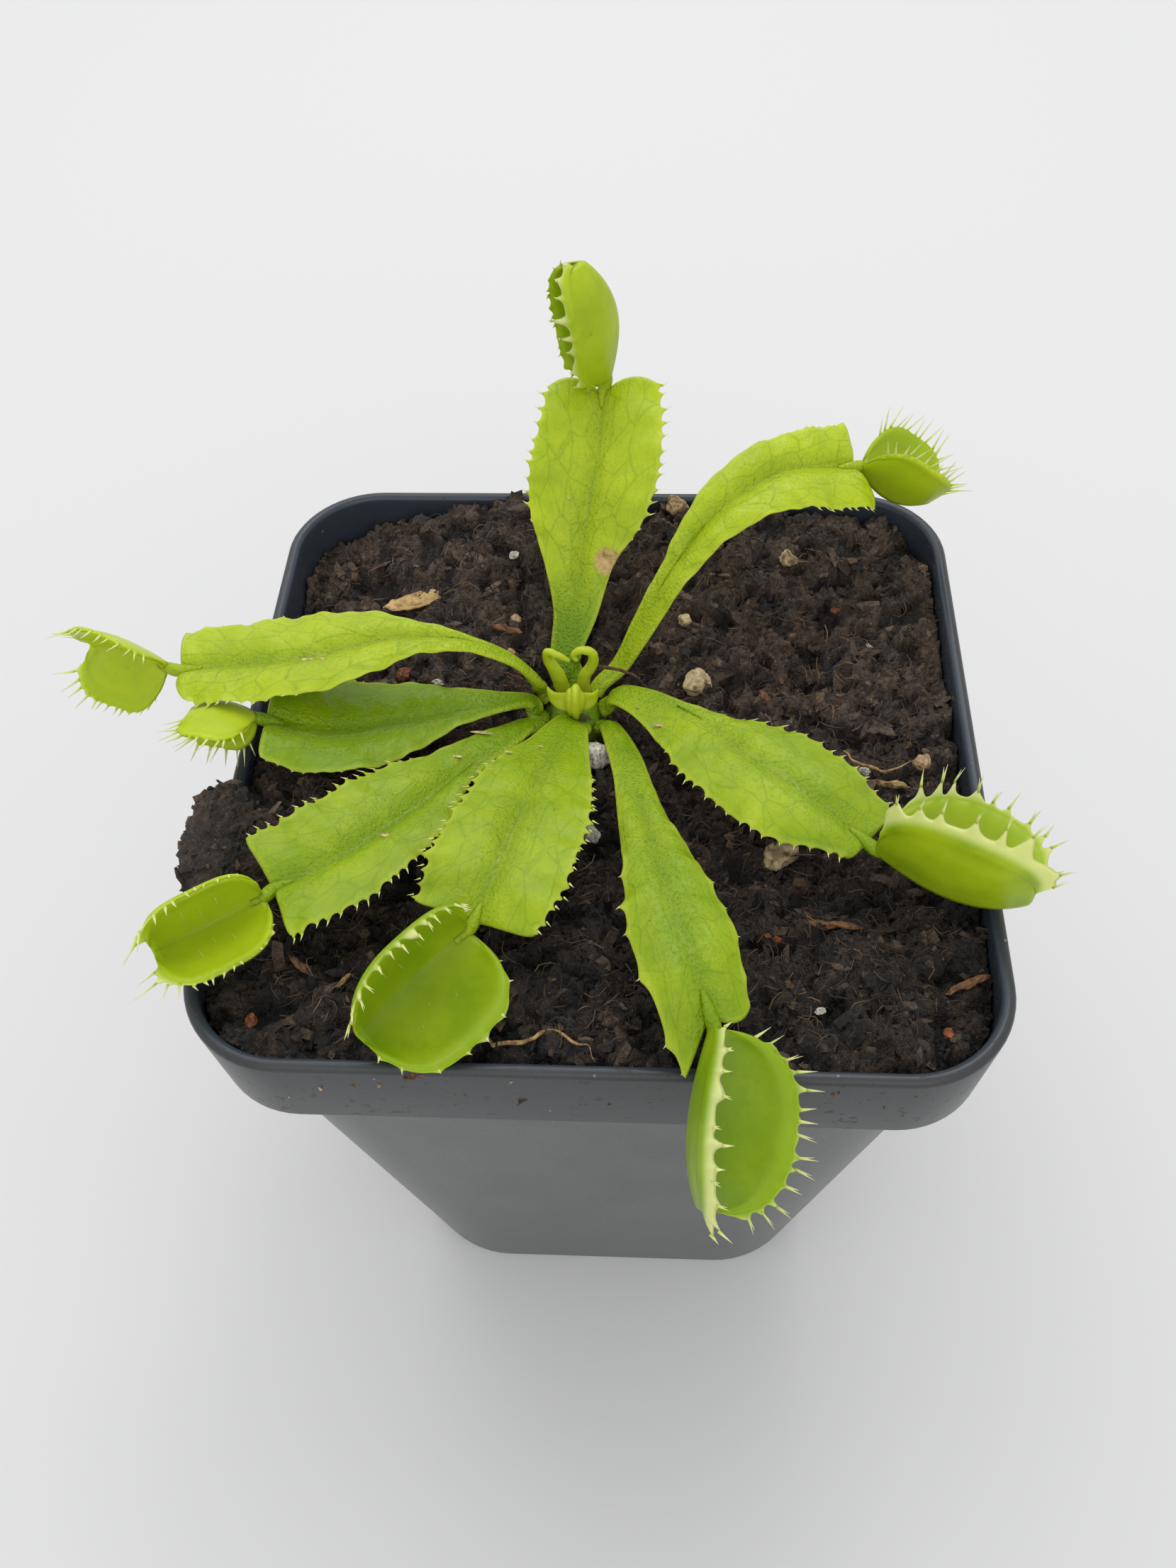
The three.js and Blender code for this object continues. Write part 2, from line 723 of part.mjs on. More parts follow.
// Trap: two curved lobes on one hinge, with marginal teeth on every other stretch of the rim
function trapGeometry(trap) {
  const base = vector(trap.base);
  const axis = vector(trap.tip).sub(base);
  const length = axis.length();
  axis.normalize();
  const open = vector(trap.open);
  open.addScaledVector(axis, -open.dot(axis)).normalize();
  const side = axis.clone().cross(open);
  const grid = [];
  const rimWays = [];
  for (let i = 0; i <= TRAP_ROWS; i += 1) {
    const s = i / TRAP_ROWS;
    const hinge = base.clone().addScaledVector(axis, length * s);
    hinge.addScaledVector(open, -trap.bow * Math.sin(Math.PI * s));
    const reach = trap.depth * lobeReach(s);
    rimWays.push({});
    grid.push(TRAP_COLUMNS.map((column) => {
      const lean = column < 0 ? trap.left : trap.right;
      const hand = Math.sign(column);
      const point = hinge.clone();
      const steps = 6;
      for (let k = 0; k < steps; k += 1) {
        const share = Math.abs(column) * (k + 0.5) / steps;
        const angle = THREE.MathUtils.degToRad(THREE.MathUtils.lerp(...lean, share));
        const stride = reach * Math.abs(column) / steps;
        point.addScaledVector(open, stride * Math.cos(angle));
        point.addScaledVector(side, hand * stride * Math.sin(angle));
      }
      if (Math.abs(column) === 1) {
        const angle = THREE.MathUtils.degToRad(lean[1]);
        const way = open.clone().multiplyScalar(Math.cos(angle));
        way.addScaledVector(side, hand * Math.sin(angle));
        way.addScaledVector(axis, (2 * s - 1) ** 3);
        rimWays[i][hand] = way.normalize();
      }
      return point;
    }));
  }
  const cilium = (i, hand) => {
    if (i % 2 === 0 || i === TRAP_ROWS - 1) {
      return null;
    }
    const j = hand < 0 ? 0 : TRAP_COLUMNS.length - 1;
    const root = grid[i][j].clone().lerp(grid[i + 1][j], 0.5);
    return root.addScaledVector(rimWays[i][hand], trap.cilia[hand < 0 ? 0 : 1]);
  };
  return sheet(grid, () => TRAP_THICKNESS, cilium);
}

// One full-grown leaf: blade, neck and trap grown together
function leafGeometry(leaf) {
  const [azimuth, elevation] = leaf.root.map(THREE.MathUtils.degToRad);
  const level = new THREE.Vector3(Math.cos(azimuth), Math.sin(azimuth), 0);
  const out = level.multiplyScalar(Math.cos(elevation)).setZ(Math.sin(elevation));
  const foot = CROWN.clone().addScaledVector(out, KNOB_RADIUS + STALK_SEAT);
  const rise = foot.clone().addScaledVector(out, ROOT_STRAIGHT);
  const curve = new THREE.CatmullRomCurve3([foot, rise, ...leaf.spine.map(vector)]);
  const blade = bladeGeometry(leaf, curve);
  const trap = trapGeometry(leaf.trap);
  const base = vector(leaf.trap.base);
  const tip = vector(leaf.trap.tip);
  const stretch = [curve.getPointAt(0.93), curve.getPointAt(1), base, base.clone().lerp(tip, 0.16)];
  const neck = tube(stretch, [NECK_END_RADIUS, NECK_RADIUS, NECK_RADIUS, NECK_END_RADIUS], 6, 5);
  return join([blade, neck, trap]);
}

function youngLeafGeometry(young) {
  return tube(young.spine.map(vector), young.radii, 8, 12);
}

// The bud: a tiny closed trap on a short stalk, with a pointed wing on either side
function budGeometry() {
  const head = new THREE.SphereGeometry(1, 10, 8);
  head.rotateX(Math.PI / 2);
  head.scale(...BUD.radii);
  head.translate(...BUD.at);
  const centre = vector(BUD.at);
  const foot = vector(BUD.stalk);
  const stalk = tube([foot, centre.clone().lerp(foot, 0.5), centre], [1, 1, 0.9], 8, 4);
  const wings = [-1, 1].map((side) => {
    const root = centre.clone().add(new THREE.Vector3(0, 0.2, -1));
    const middle = centre.clone().add(new THREE.Vector3(side * BUD.wingSpan * 0.6, 0, 0));
    const tip = centre.clone().add(new THREE.Vector3(side * BUD.wingSpan, 0, 1.3));
    return tube([root, middle, tip], [1, 1, 0.3], 6, 5);
  });
  return join([head, stalk, ...wings]);
}

const plant = new THREE.Group();

function place(name, geometry, finish) {
  const mesh = new THREE.Mesh(geometry, new THREE.MeshStandardMaterial(finish));
  mesh.name = name;
  plant.add(mesh);
}

place('pot', potGeometry(), POT_PLASTIC);
place('soil', soilGeometry(), PEAT);
place('rhizome', rhizomeGeometry(), RHIZOME);
for (const leaf of LEAVES) {
  place(leaf.name, leafGeometry(leaf), LEAF);
}
for (const young of YOUNG_LEAVES) {
  place(young.name, youngLeafGeometry(young), YOUNG);
}
place('young_leaf_bud', budGeometry(), YOUNG);

export default plant;
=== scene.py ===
"""Looks of a potted venus flytrap: a square nursery pot of peat with a rosette of toothed leaves
and bristle-edged traps. Lengths are in millimetres until a mesh is made, and in metres in the
settings, in what grows on a mesh and on the stage."""

import math
from collections import defaultdict, namedtuple

import bmesh
import bpy
import numpy as np
from mathutils import Matrix, Vector, noise


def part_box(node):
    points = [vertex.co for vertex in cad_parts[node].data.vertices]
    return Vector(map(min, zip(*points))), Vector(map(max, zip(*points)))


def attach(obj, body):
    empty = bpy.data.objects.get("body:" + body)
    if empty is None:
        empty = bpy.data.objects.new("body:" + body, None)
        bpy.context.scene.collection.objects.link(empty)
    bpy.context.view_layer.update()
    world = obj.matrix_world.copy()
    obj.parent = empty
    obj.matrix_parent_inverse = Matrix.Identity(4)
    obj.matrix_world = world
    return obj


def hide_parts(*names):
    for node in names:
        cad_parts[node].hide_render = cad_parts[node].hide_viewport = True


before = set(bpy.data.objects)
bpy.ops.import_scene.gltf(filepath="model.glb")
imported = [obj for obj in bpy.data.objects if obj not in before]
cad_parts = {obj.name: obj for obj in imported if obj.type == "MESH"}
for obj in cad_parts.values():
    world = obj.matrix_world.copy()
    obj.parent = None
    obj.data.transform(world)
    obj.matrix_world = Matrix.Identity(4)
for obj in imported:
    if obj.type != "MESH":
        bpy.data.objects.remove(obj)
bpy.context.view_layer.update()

bl_info = {
    "name": "Potted Venus Flytrap",
    "version": (1, 0, 0),
    "blender": (4, 5, 0),
    "location": "3D View > Sidebar > Flytrap",
    "description": "Builds a venus flytrap in its nursery pot of peat",
    "category": "Add Mesh",
}

POT_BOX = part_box("pot")
BODY = "root"
MM = 0.001
EULER = 2.718

# Pot
POT_HEIGHT = POT_BOX[1].z / MM
RIM_HALF = POT_BOX[1].x / MM
RIM_CORNER = 12
RIM_ROLL = 0.8
COLLAR_HEIGHT = 14
COLLAR_FOOT_HALF = 44
COLLAR_FOOT_CORNER = 11
COLLAR_FOOT_ROUND = 0.6
BODY_TOP_HALF = 41.5
FOOT_HALF = 31.5
FOOT_CORNER = 15
FOOT_ROUND = 0.7
WALL = 1
FLOOR = 1.4
SHELF_FOOT = 0.6
SHELF_RISE = 2
DRAIN_RADIUS = 3.5
DRAIN_SPREAD = 19
SEAT = 0.3

# Crown, where the leaves meet
CROWN = np.array((-4.5, 10, 87))
KNOB_RADIUS = 4.5
STALK_SEAT = 0.5
ROOT_STRAIGHT = 1.5

# Thickness of the leaves, and forward lean of the teeth on a blade
MARGIN_THICKNESS = 0.5
MIDRIB_THICKNESS = 0.95
STALK_THICKNESS = 1.9
TRAP_THICKNESS = 0.7
TOOTH_LEAN = 0.4

# Fineness of curves and meshes
CURVE_STEPS = 60
CORNER_STEPS = 14
SIDE_STEPS = 10
CUTTER_SIDES = 32
BLADE_ROWS = 200
BLADE_COLUMNS = 27
NECK_ROW = 188
TRAP_ROWS = 150
LOBE_COLUMNS = 15
FRINGE_COLUMNS = 4
RIBBON_ROWS = 40
RIBBON_COLUMNS = 13
MARGIN_SEARCH_ROWS = 540
RIM_SEARCH_ROWS = 500

# First seed of the random draws for the hairs, one for each leaf
HAIR_SEED = 40

# Soil: its level, the dip round the crown, the hole for the rhizome, and mounds as x, y, height and
# reach
SOIL_LEVEL = 93
CROWN_DIP = 6
CROWN_DIP_REACH = 9.5
HOLE_RADIUS = 4.9
HOLE_DEPTH = 62
MOUNDS = (
    (-40, -14, 6, 10.5), (-38, 30, -2.5, 10), (-36, -38, 2.4, 12),
    (-14, 42, 4.2, 15), (16, 42, 4, 15), (43, 6, 1.4, 13),
    (42, -20, 1.4, 12), (40, 32, 1.2, 11), (0, -42, 3, 17), (33, -40, 2.6, 11),
)
# Crumbs and fibres come in this many shapes, tilted by up to that many radians and turned every way
SHAPES = 3
TILT = 0.6
FULL_TURN = 6.28
# Sideways swing and lift of the middle of each shape of fibre, as shares of its length
FIBRE_BENDS = ((0.6, 0.3), (-0.45, 0.5), (0.25, 0.15))
# Size and angle in radians of the threads that are drawn on the peat
PEAT_THREADS = ((0.5, 0.4), (0.6, 1.7), (0.45, 2.6))
# Clod spilled over the rim on the left: place and reach
SPILL_AT = (-44.5, -17, 97.3)
SPILL_REACH = (4.2, 8.8, 3.4)

Trap = namedtuple("Trap", "base tip open bow depth left right")
Leaf = namedtuple("Leaf", "name root spine left right roll fold shoulder teeth trap")

# A leaf's stalk leaves the crown in the direction root, and the leaf follows its spine, with half
# widths to its left and right. Roll turns it about the spine at its start and end, and fold lifts its
# halves. Shoulder is how far its end bulges, and teeth the share of its length where the teeth begin.
# A trap's hinge runs from base to tip, bent by bow, and its lobes are as wide as depth. They lean from
# hinge to rim by the two angles in left and right. Every angle is in degrees.
LEAVES = (
    Leaf(
        name="leaf_back", root=(95, 40), roll=(0, 0), fold=8, shoulder=1.4, teeth=0.5,
        spine=((-5.8, 16.4, 93.2), (-4.5, 21.6, 97), (-3.8, 27.9, 102.5),
               (-2.5, 33.5, 108), (-1.6, 40, 112.5), (-1.5, 44.5, 114.5)),
        left=(1.6, 2.6, 4.6, 8, 8.2, 7),
        right=(1.6, 2.6, 4.2, 7.8, 8.4, 7.4),
        trap=Trap(base=(-0.9, 45, 116), tip=(-3, 48, 131.5), open=(-0.9, -0.45, 0.1),
                  bow=2.4, depth=8, left=(62, -16), right=(62, -16)),
    ),
    Leaf(
        name="leaf_back_right", root=(48, 40), roll=(0, 20), fold=8, shoulder=0, teeth=0.75,
        spine=((1.2, 15.4, 92.6), (4.2, 17.4, 98), (7.6, 20.2, 105),
               (12.4, 24.4, 110), (21, 31.8, 111.5), (31.9, 37, 108.5)),
        left=(1.1, 1.8, 1.7, 3.8, 4.9, 6),
        right=(1.1, 1.8, 3, 4.5, 6.9, 7),
        trap=Trap(base=(32.5, 37.4, 108), tip=(41.2, 36.2, 101.9), open=(0.58, 0.23, 0.78),
                  bow=1.2, depth=10, left=(55, 15), right=(55, 15)),
    ),
    Leaf(
        name="leaf_left_upper", root=(152, 42), roll=(0, 0), fold=0, shoulder=0, teeth=0.7,
        spine=((-9.1, 10.6, 94.9), (-11.9, 9.4, 100.6), (-18, 8.7, 105),
               (-24.7, 7.6, 106.5), (-37, 4.4, 106), (-52.3, 4.6, 103.5)),
        left=(1.1, 1.1, 2.5, 5.4, 6, 5.6),
        right=(1.1, 0.9, 1.7, 6.1, 7, 6.3),
        trap=Trap(base=(-53.6, 4.8, 103.5), tip=(-63.4, 9, 104), open=(-0.39, -0.9, 0.2),
                  bow=0.8, depth=8.5, left=(60, 30), right=(60, 30)),
    ),
    Leaf(
        name="leaf_left_middle", root=(199, 38), roll=(0, 0), fold=0, shoulder=0, teeth=0.6,
        spine=((-10, 8.9, 92.8), (-13.5, 6.7, 95.2), (-18.9, 4, 97),
               (-25.6, 1.5, 97.8), (-33.6, -1.7, 99.9), (-40.7, -1.7, 101.8)),
        left=(1.1, 1.3, 2.9, 6, 6.7, 6),
        right=(1.1, 2.3, 4.5, 7.1, 8.5, 7.6),
        trap=Trap(base=(-41.6, -1.8, 102.1), tip=(-49.4, -0.4, 102.7), open=(-0.3, -0.9, -0.25),
                  bow=0.8, depth=6.6, left=(30, 10), right=(50, 20)),
    ),
    Leaf(
        name="leaf_left_lower", root=(234, 34), roll=(0, 0), fold=10, shoulder=0, teeth=0.45,
        spine=((-9.8, 5.8, 91.6), (-12.3, 1.4, 94.6), (-17.1, -5.9, 97.2),
               (-23.4, -14.9, 99.6), (-29.6, -21.4, 100.8), (-35.9, -25.1, 100.6)),
        left=(1.1, 1.7, 2.1, 5.2, 7, 7.6),
        right=(1.1, 2.7, 4.4, 7.1, 7.7, 7),
        trap=Trap(base=(-36.6, -26.2, 100.6), tip=(-47.5, -33, 100), open=(0.25, -0.5, 0.83),
                  bow=1.4, depth=8, left=(72, 5), right=(72, -20)),
    ),
    Leaf(
        name="leaf_front_left", root=(274, 48), roll=(0, 0), fold=4, shoulder=0, teeth=0.35,
        spine=((-4.6, 5.4, 92.8), (-6, -0.5, 95.4), (-7.8, -7.8, 98.5),
               (-9.8, -17, 101.3), (-11.4, -23.8, 102), (-13.2, -28.7, 100.5)),
        left=(2, 3.8, 6.4, 8, 8.2, 7.2),
        right=(2, 3.7, 6, 6.7, 7.4, 6.9),
        trap=Trap(base=(-13.8, -29.4, 99.8), tip=(-24.6, -42.2, 99.8), open=(0.52, -0.4, 0.75),
                  bow=1.2, depth=10.5, left=(72, 22), right=(72, -6)),
    ),
    Leaf(
        name="leaf_front_right", root=(324, 34), roll=(0, 0), fold=-14, shoulder=1, teeth=0.55,
        spine=((0.4, 5.4, 92.4), (3.2, -4.2, 97), (5.3, -15.2, 100.5),
               (8, -26.6, 103.5), (10.4, -35, 104.5), (12.3, -40.8, 102.6)),
        left=(1.1, 1.7, 2.2, 4.2, 5.6, 4.6),
        right=(1.1, 2, 2.8, 3.9, 5.6, 4.3),
        trap=Trap(base=(12.6, -41.6, 102), tip=(10.4, -57.4, 94.6), open=(0.75, -0.36, 0.55),
                  bow=1.2, depth=10, left=(58, 12), right=(63, 24)),
    ),
    Leaf(
        name="leaf_right", root=(4, 42), roll=(0, 0), fold=-8, shoulder=0, teeth=0.42,
        spine=((1.4, 9.8, 94), (4.8, 7.4, 96.4), (11.1, 1.5, 99.5),
               (16.5, -5.9, 102), (23.5, -12.1, 102.5), (30.1, -17.4, 100.5)),
        left=(1.4, 1.2, 1.8, 6.4, 7.2, 6),
        right=(1.4, 3.4, 6, 7, 7.3, 3),
        trap=Trap(base=(31, -18.2, 100.2), tip=(46.4, -26, 100), open=(0.3, 0.49, 0.82),
                  bow=1.6, depth=11, left=(62, 14), right=(62, 14)),
    ),
)

# Fringe of a lobe: height of its web, height and spacing of its teeth, how far they curl inwards in
# degrees, length of the hair on each tip, and how many times longer the hairs are at the trap's far
# end, where web and teeth grow higher too
Fringe = namedtuple("Fringe", "web tooth spacing curl hair swell")
FRINGES = {
    "leaf_back": (Fringe(0.2, 0.8, 1.3, 30, 0.5, 1), Fringe(0.8, 3.2, 2.2, 65, 0.1, 1)),
    "leaf_back_right": (Fringe(0.1, 0.6, 1.0, -5, 2.8, 1), Fringe(0.1, 0.6, 1.0, 0, 2.4, 1)),
    "leaf_left_upper": (Fringe(0.1, 0.7, 1.0, 0, 0.4, 3.5), Fringe(0.1, 0.9, 1.2, 35, 1.4, 1.3)),
    "leaf_left_middle": (Fringe(0.1, 0.6, 1.1, 0, 2.2, 1), Fringe(0.1, 0.6, 1.1, -10, 2.4, 1)),
    "leaf_left_lower": (Fringe(0.06, 0.7, 1.1, -15, 0.2, 5), Fringe(0.07, 0.7, 1.2, 45, 0.2, 5)),
    "leaf_front_left": (Fringe(0.15, 1.0, 3.2, -10, 0.4, 1), Fringe(0.4, 2.2, 1.6, 60, 0.8, 1.3)),
    "leaf_front_right": (Fringe(0.3, 1.8, 1.6, -5, 1.7, 1.1), Fringe(1.1, 2.3, 2.3, 60, 0.5, 1.6)),
    "leaf_right": (Fringe(0.7, 2.4, 2.1, 10, 1.6, 1), Fringe(1.5, 3.4, 2.9, 5, 1.7, 1.3)),
}

# Habits of each leaf: height of the teeth on the blade's left and right margins and their spacing, how
# far the corners of its end reach beyond the neck, how yellow blade and trap are from 0 to 1, the trap's
# partly as painted light and shade on its lobes, how much painted shade darkens the trap along its hinge,
# the share of a lobe's curve that isn't taken up by a crease at the hinge, how square the lobes are, how
# green the stalk is, and the lobes' depths as shares of the trap's depth
Habit = namedtuple("Habit", "teeth spacing corners yellow trap_yellow shade crease square stalk lobes")
HABITS = {
    "leaf_back": Habit((1, 1), 1.7, (0.9, 0.9), 0.8, 0.7, 0.1, 1, 2.2, 1.2, (1, 1)),
    "leaf_back_right": Habit((0.4, 0.8), 1.2, (0.3, 0), 0.8, 0.75, 0, 1, 2.6, 0, (0.88, 0.92)),
    "leaf_left_upper": Habit((0.7, 0.3), 1.8, (-2, 1.1), 0.75, 0.95, 0, 1, 3.2, 0.3, (0.84, 1)),
    "leaf_left_middle": Habit((0.25, 0.6), 1.5, (0, 0), 0.25, 0.9, 0, 1, 3, 0.5, (0.75, 1.2)),
    "leaf_left_lower": Habit((1.1, 1.1), 1.4, (0.8, 0.8), 0.42, 0.8, 0.3, 0.7, 3.4, 0.6, (1, 1)),
    "leaf_front_left": Habit((0.9, 1.1), 1.6, (0, 0.6), 0.5, 0.4, 0.15, 0.7, 3, 0.6, (1, 1)),
    "leaf_front_right": Habit((0.3, 0.9), 4.2, (0.3, 5.5), 0.42, 0.3, 0.4, 0.8, 2.4, 0.1, (1, 1)),
    "leaf_right": Habit((0.85, 0.85), 1.8, (0.3, 0), 0.5, 0.6, 0.2, 0.85, 2, 0.3, (1, 1)),
}

# Brown blotch on the margin of the back leaf
BLOTCH_AT = (-0.4, 25.8, 101.9)

# Young leaves: name, points of the middle line and radii along it
YOUNG_LEAVES = (
    (
        "young_leaf_left",
        ((-5.9, 12.1, 91.4), (-6.6, 12.4, 94.4), (-7.8, 12.5, 97.6), (-7.6, 12.2, 99), (-6.2, 11.9, 98.6),
         (-4.9, 11.8, 97.8)),
        (1, 0.98, 0.8, 0.6, 0.5, 0.3),
    ),
    (
        "young_leaf_right",
        ((-3.3, 12.1, 91.6), (-3.1, 12.2, 94.4), (-2, 12.3, 96.8), (-2, 12.2, 98.8), (-3.3, 12, 99.6),
         (-4.4, 11.9, 98.8), (-3.9, 11.7, 98)),
        (0.95, 0.85, 0.75, 0.7, 0.6, 0.46, 0.28),
    ),
)
# Bud: middle and radii of its head, span and rise of either wing, and foot of its stalk
BUD_AT = (-4.1, 7.2, 95)
BUD_RADII = (1.4, 1.7, 2.7)
BUD_WINGS = ((-3.5, 1.7), (2.9, 1.4))
BUD_STALK = (-4.4, 9.2, 91.8)

# Grains of perlite and grit on the soil: x, y, radius, flatness and kind
GRAINS = (
    (-1.1, 0.3, 1.8, 0.9, "perlite"), (-1.3, -11.8, 1.15, 0.9, "perlite"), (11.5, 11.9, 1.9, 0.8, "cream"),
    (-8.3, 18.5, 0.6, 0.8, "perlite"), (-22.5, 12, 0.75, 0.8, "perlite"), (33.8, 18, 0.5, 0.8, "perlite"),
    (-13.6, 32.5, 0.7, 0.8, "perlite"), (24.4, -35.2, 0.5, 0.8, "perlite"), (31.7, -2, 0.7, 0.7, "perlite"),
    (23.9, 33.1, 1.3, 0.7, "cream"), (38.6, -1.4, 1.2, 0.6, "sand"), (21.1, -14.5, 2, 0.45, "cream"),
    (9.8, 23.4, 0.95, 0.7, "cream"), (-13.3, 18.2, 0.6, 0.7, "sand"), (8.7, 42.4, 1.7, 0.5, "sand"),
    (17.6, 39, 1.1, 0.5, "sand"), (42.3, 32.7, 0.7, 0.6, "sand"), (-12.9, 23.4, 0.8, 0.6, "sand"),
    (-36.9, -38.6, 0.8, 0.5, "amber"), (30.1, 25.5, 0.7, 0.6, "amber"), (20.1, -26.2, 0.5, 0.7, "amber"),
    (19.2, -25.8, 0.35, 0.7, "amber"), (37.4, -38.4, 0.6, 0.5, "amber"), (-26.9, 13, 1.1, 0.5, "amber"),
    (-20.5, -26.5, 0.9, 0.35, "amber"),
)
# Bark chips: two ends, width and kind
BARK_CHIPS = (
    ((-31, 25), (-23, 28), 2.6, "straw"), ((38, -33), (43, -30.5), 0.9, "bark"),
    ((22.3, -24), (29.9, -24.6), 0.8, "bark"), ((12, 33), (15, 34), 1.1, "bark"),
    ((-34, -31), (-31, -33), 0.9, "bark"), ((19.6, 11.3), (20.8, 8.6), 0.9, "bark"),
    ((-16, 21.5), (-11.8, 20.6), 0.8, "bark"), ((31, -4), (37, -4.6), 0.6, "straw"),
    ((-27, -32.6), (-28.3, -34.5), 0.6, "straw"),
)
# Dead strands lying on the soil, as x, y and lift above it
DEAD_STRANDS = (
    ((-12.8, -35.6, 0.9), (-12.2, -38.8, 1.1), (-10.4, -41.2, 0.8), (-8.2, -40.9, 0.7), (-4.5, -39.8, 0.8),
     (-1.7, -41.1, 0.7), (0.9, -42.9, 0.7)),
    ((29.6, 0.8, 0.8), (31, -1.6, 1.4), (33.6, -2.3, 1.2), (37.5, -1.6, 0.5)),
)
# Dark withered threads over and beside the crown
CROWN_THREADS = (
    ((-3.2, 12.2, 95), (-1.6, 12.2, 96), (0.6, 11.8, 96.6), (2.9, 10.6, 96.6), (5, 9.2, 96)),
    ((-13.4, 18.4, 91.4), (-12, 13.9, 93.2), (-10.4, 13.2, 92.6), (-8.9, 12, 92.4)),
    ((-14.5, 15.5, 91), (-12, 12.6, 93.6), (-9.6, 12.4, 91.5)),
)

# Dry bits on the leaves: leaf, share of its length, place across from -1 to 1, and length
LEAF_BITS = (
    ("leaf_left_upper", 0.69, -0.16, 2.2), ("leaf_left_upper", 0.66, -0.22, 0.8),
    ("leaf_left_lower", 0.71, -0.23, 1.8), ("leaf_left_lower", 0.26, 0.86, 2.4),
    ("leaf_left_lower", 0.38, 0.38, 1), ("leaf_front_left", 0.35, 0.85, 0.9),
    ("leaf_front_left", 0.27, 0.38, 0.7), ("leaf_right", 0.34, 0.76, 1.3), ("leaf_right", 0.23, 0.71, 0.6),
    ("leaf_back", 0.62, -0.3, 0.5),
)
# Soil and dust on the front of the pot's collar: x, z and radius, with the dust pale
COLLAR_BITS = (
    (-25.4, 92.8, 0.35, "soil"), (-19.3, 95.8, 0.45, "soil"), (-18.4, 96.3, 0.6, "soil"),
    (-17.6, 96.2, 0.4, "soil"), (-14.8, 90.9, 0.2, "soil"), (25.1, 94.2, 0.35, "soil"),
    (25.7, 94.6, 0.25, "soil"), (1.9, 89.3, 0.2, "soil"), (33.6, 93.9, 0.2, "soil"),
    (-29, 92, 0.4, "dust"), (-22.4, 93.3, 0.4, "dust"), (-8.2, 95.2, 0.3, "dust"), (14, 92, 0.2, "dust"),
    (20, 87, 0.18, "dust"), (-33, 89, 0.2, "dust"), (31, 90.5, 0.2, "soil"),
)

# Finishes of the litter: name, pale and dark colour, size of the pores and roughness
LITTER = {
    "perlite": ("perlite", (206, 202, 186), (150, 142, 122), 0.5, 0.75),
    "cream": ("cream_grit", (200, 180, 136), (104, 78, 48), 0.9, 0.7),
    "sand": ("tan_grit", (176, 148, 110), (120, 92, 62), 0.5, 0.7),
    "amber": ("amber_grit", (140, 74, 34), (74, 40, 22), 0.5, 0.45),
    "straw": ("straw_chip", (196, 164, 108), (138, 104, 62), 0.9, 0.75),
    "bark": ("bark", (128, 90, 58), (58, 38, 26), 0.9, 0.75),
    "strand": ("dead_strand", (176, 142, 92), (104, 76, 46), 0.6, 0.7),
    "thread": ("withered_thread", (88, 58, 36), (44, 28, 20), 0.5, 0.6),
    "husk": ("dry_husk", (214, 202, 142), (150, 124, 70), 0.5, 0.7),
}

# Stage in metres: lights as name, place and width
FLOOR_REACH = 3
LIGHTS = (
    ("key", (-0.08, 0.45, 0.85), 0.9), ("fill", (0.1, -0.7, 0.6), 0.8),
    ("glint", (0.12, 0.5, 0.85), 0.16),
)
LIT_POINT = (0, 0, 0.09)
SKY_COLOUR = (244, 246, 250)

# Camera, fitted to the rim, collar and foot of the pot in the photograph
CAMERA_AT = (6.53, -106.56, 228.34)
CAMERA_YAW = 4.767
CAMERA_PITCH = 52.795
CAMERA_ROLL = -2.951
PHOTO_HEIGHT = 2212
FOCAL_PIXELS = 1950
SENSOR = 36


def colour(red, green, blue):
    """Linear colour of an 8-bit display colour."""
    def linear(value):
        share = value / 255
        return share / 12.92 if share <= 0.04045 else ((share + 0.055) / 1.055) ** 2.4
    return (linear(red), linear(green), linear(blue), 1)


# Node trees written as expressions

def ahead_of(operation):
    """Operator method that puts the socket first."""
    return lambda self, other: self.math(operation, self, other)


def behind(operation):
    """Operator method that puts the socket second."""
    return lambda self, other: self.math(operation, other, self)


class Socket:
    """Output of a node. Arithmetic on it adds Math nodes to the same tree."""

    def __init__(self, tree, output):
        self.tree = tree
        self.output = output

    def math(self, operation, *terms):
        return self.tree.node("ShaderNodeMath", {"operation": operation}, dict(enumerate(terms)))

    __add__ = ahead_of("ADD")
    __radd__ = behind("ADD")
    __sub__ = ahead_of("SUBTRACT")
    __rsub__ = behind("SUBTRACT")
    __mul__ = ahead_of("MULTIPLY")
    __rmul__ = behind("MULTIPLY")
    __truediv__ = ahead_of("DIVIDE")
    __pow__ = ahead_of("POWER")
    __rpow__ = behind("POWER")
    __gt__ = ahead_of("GREATER_THAN")
    __lt__ = ahead_of("LESS_THAN")

    def __abs__(self):
        return self.math("ABSOLUTE", self)

    def bell(self, reach):
        """1 where the value is 0, falling to 0 a few reaches away."""
        share = self / reach
        return EULER ** (0 - share * share)

    def between(self, low, high):
        """0 below low and 1 above high, with a smooth step between them."""
        return self.tree.node("ShaderNodeMapRange", {"interpolation_type": "SMOOTHSTEP"},
                              {"Value": self, "From Min": low, "From Max": high})


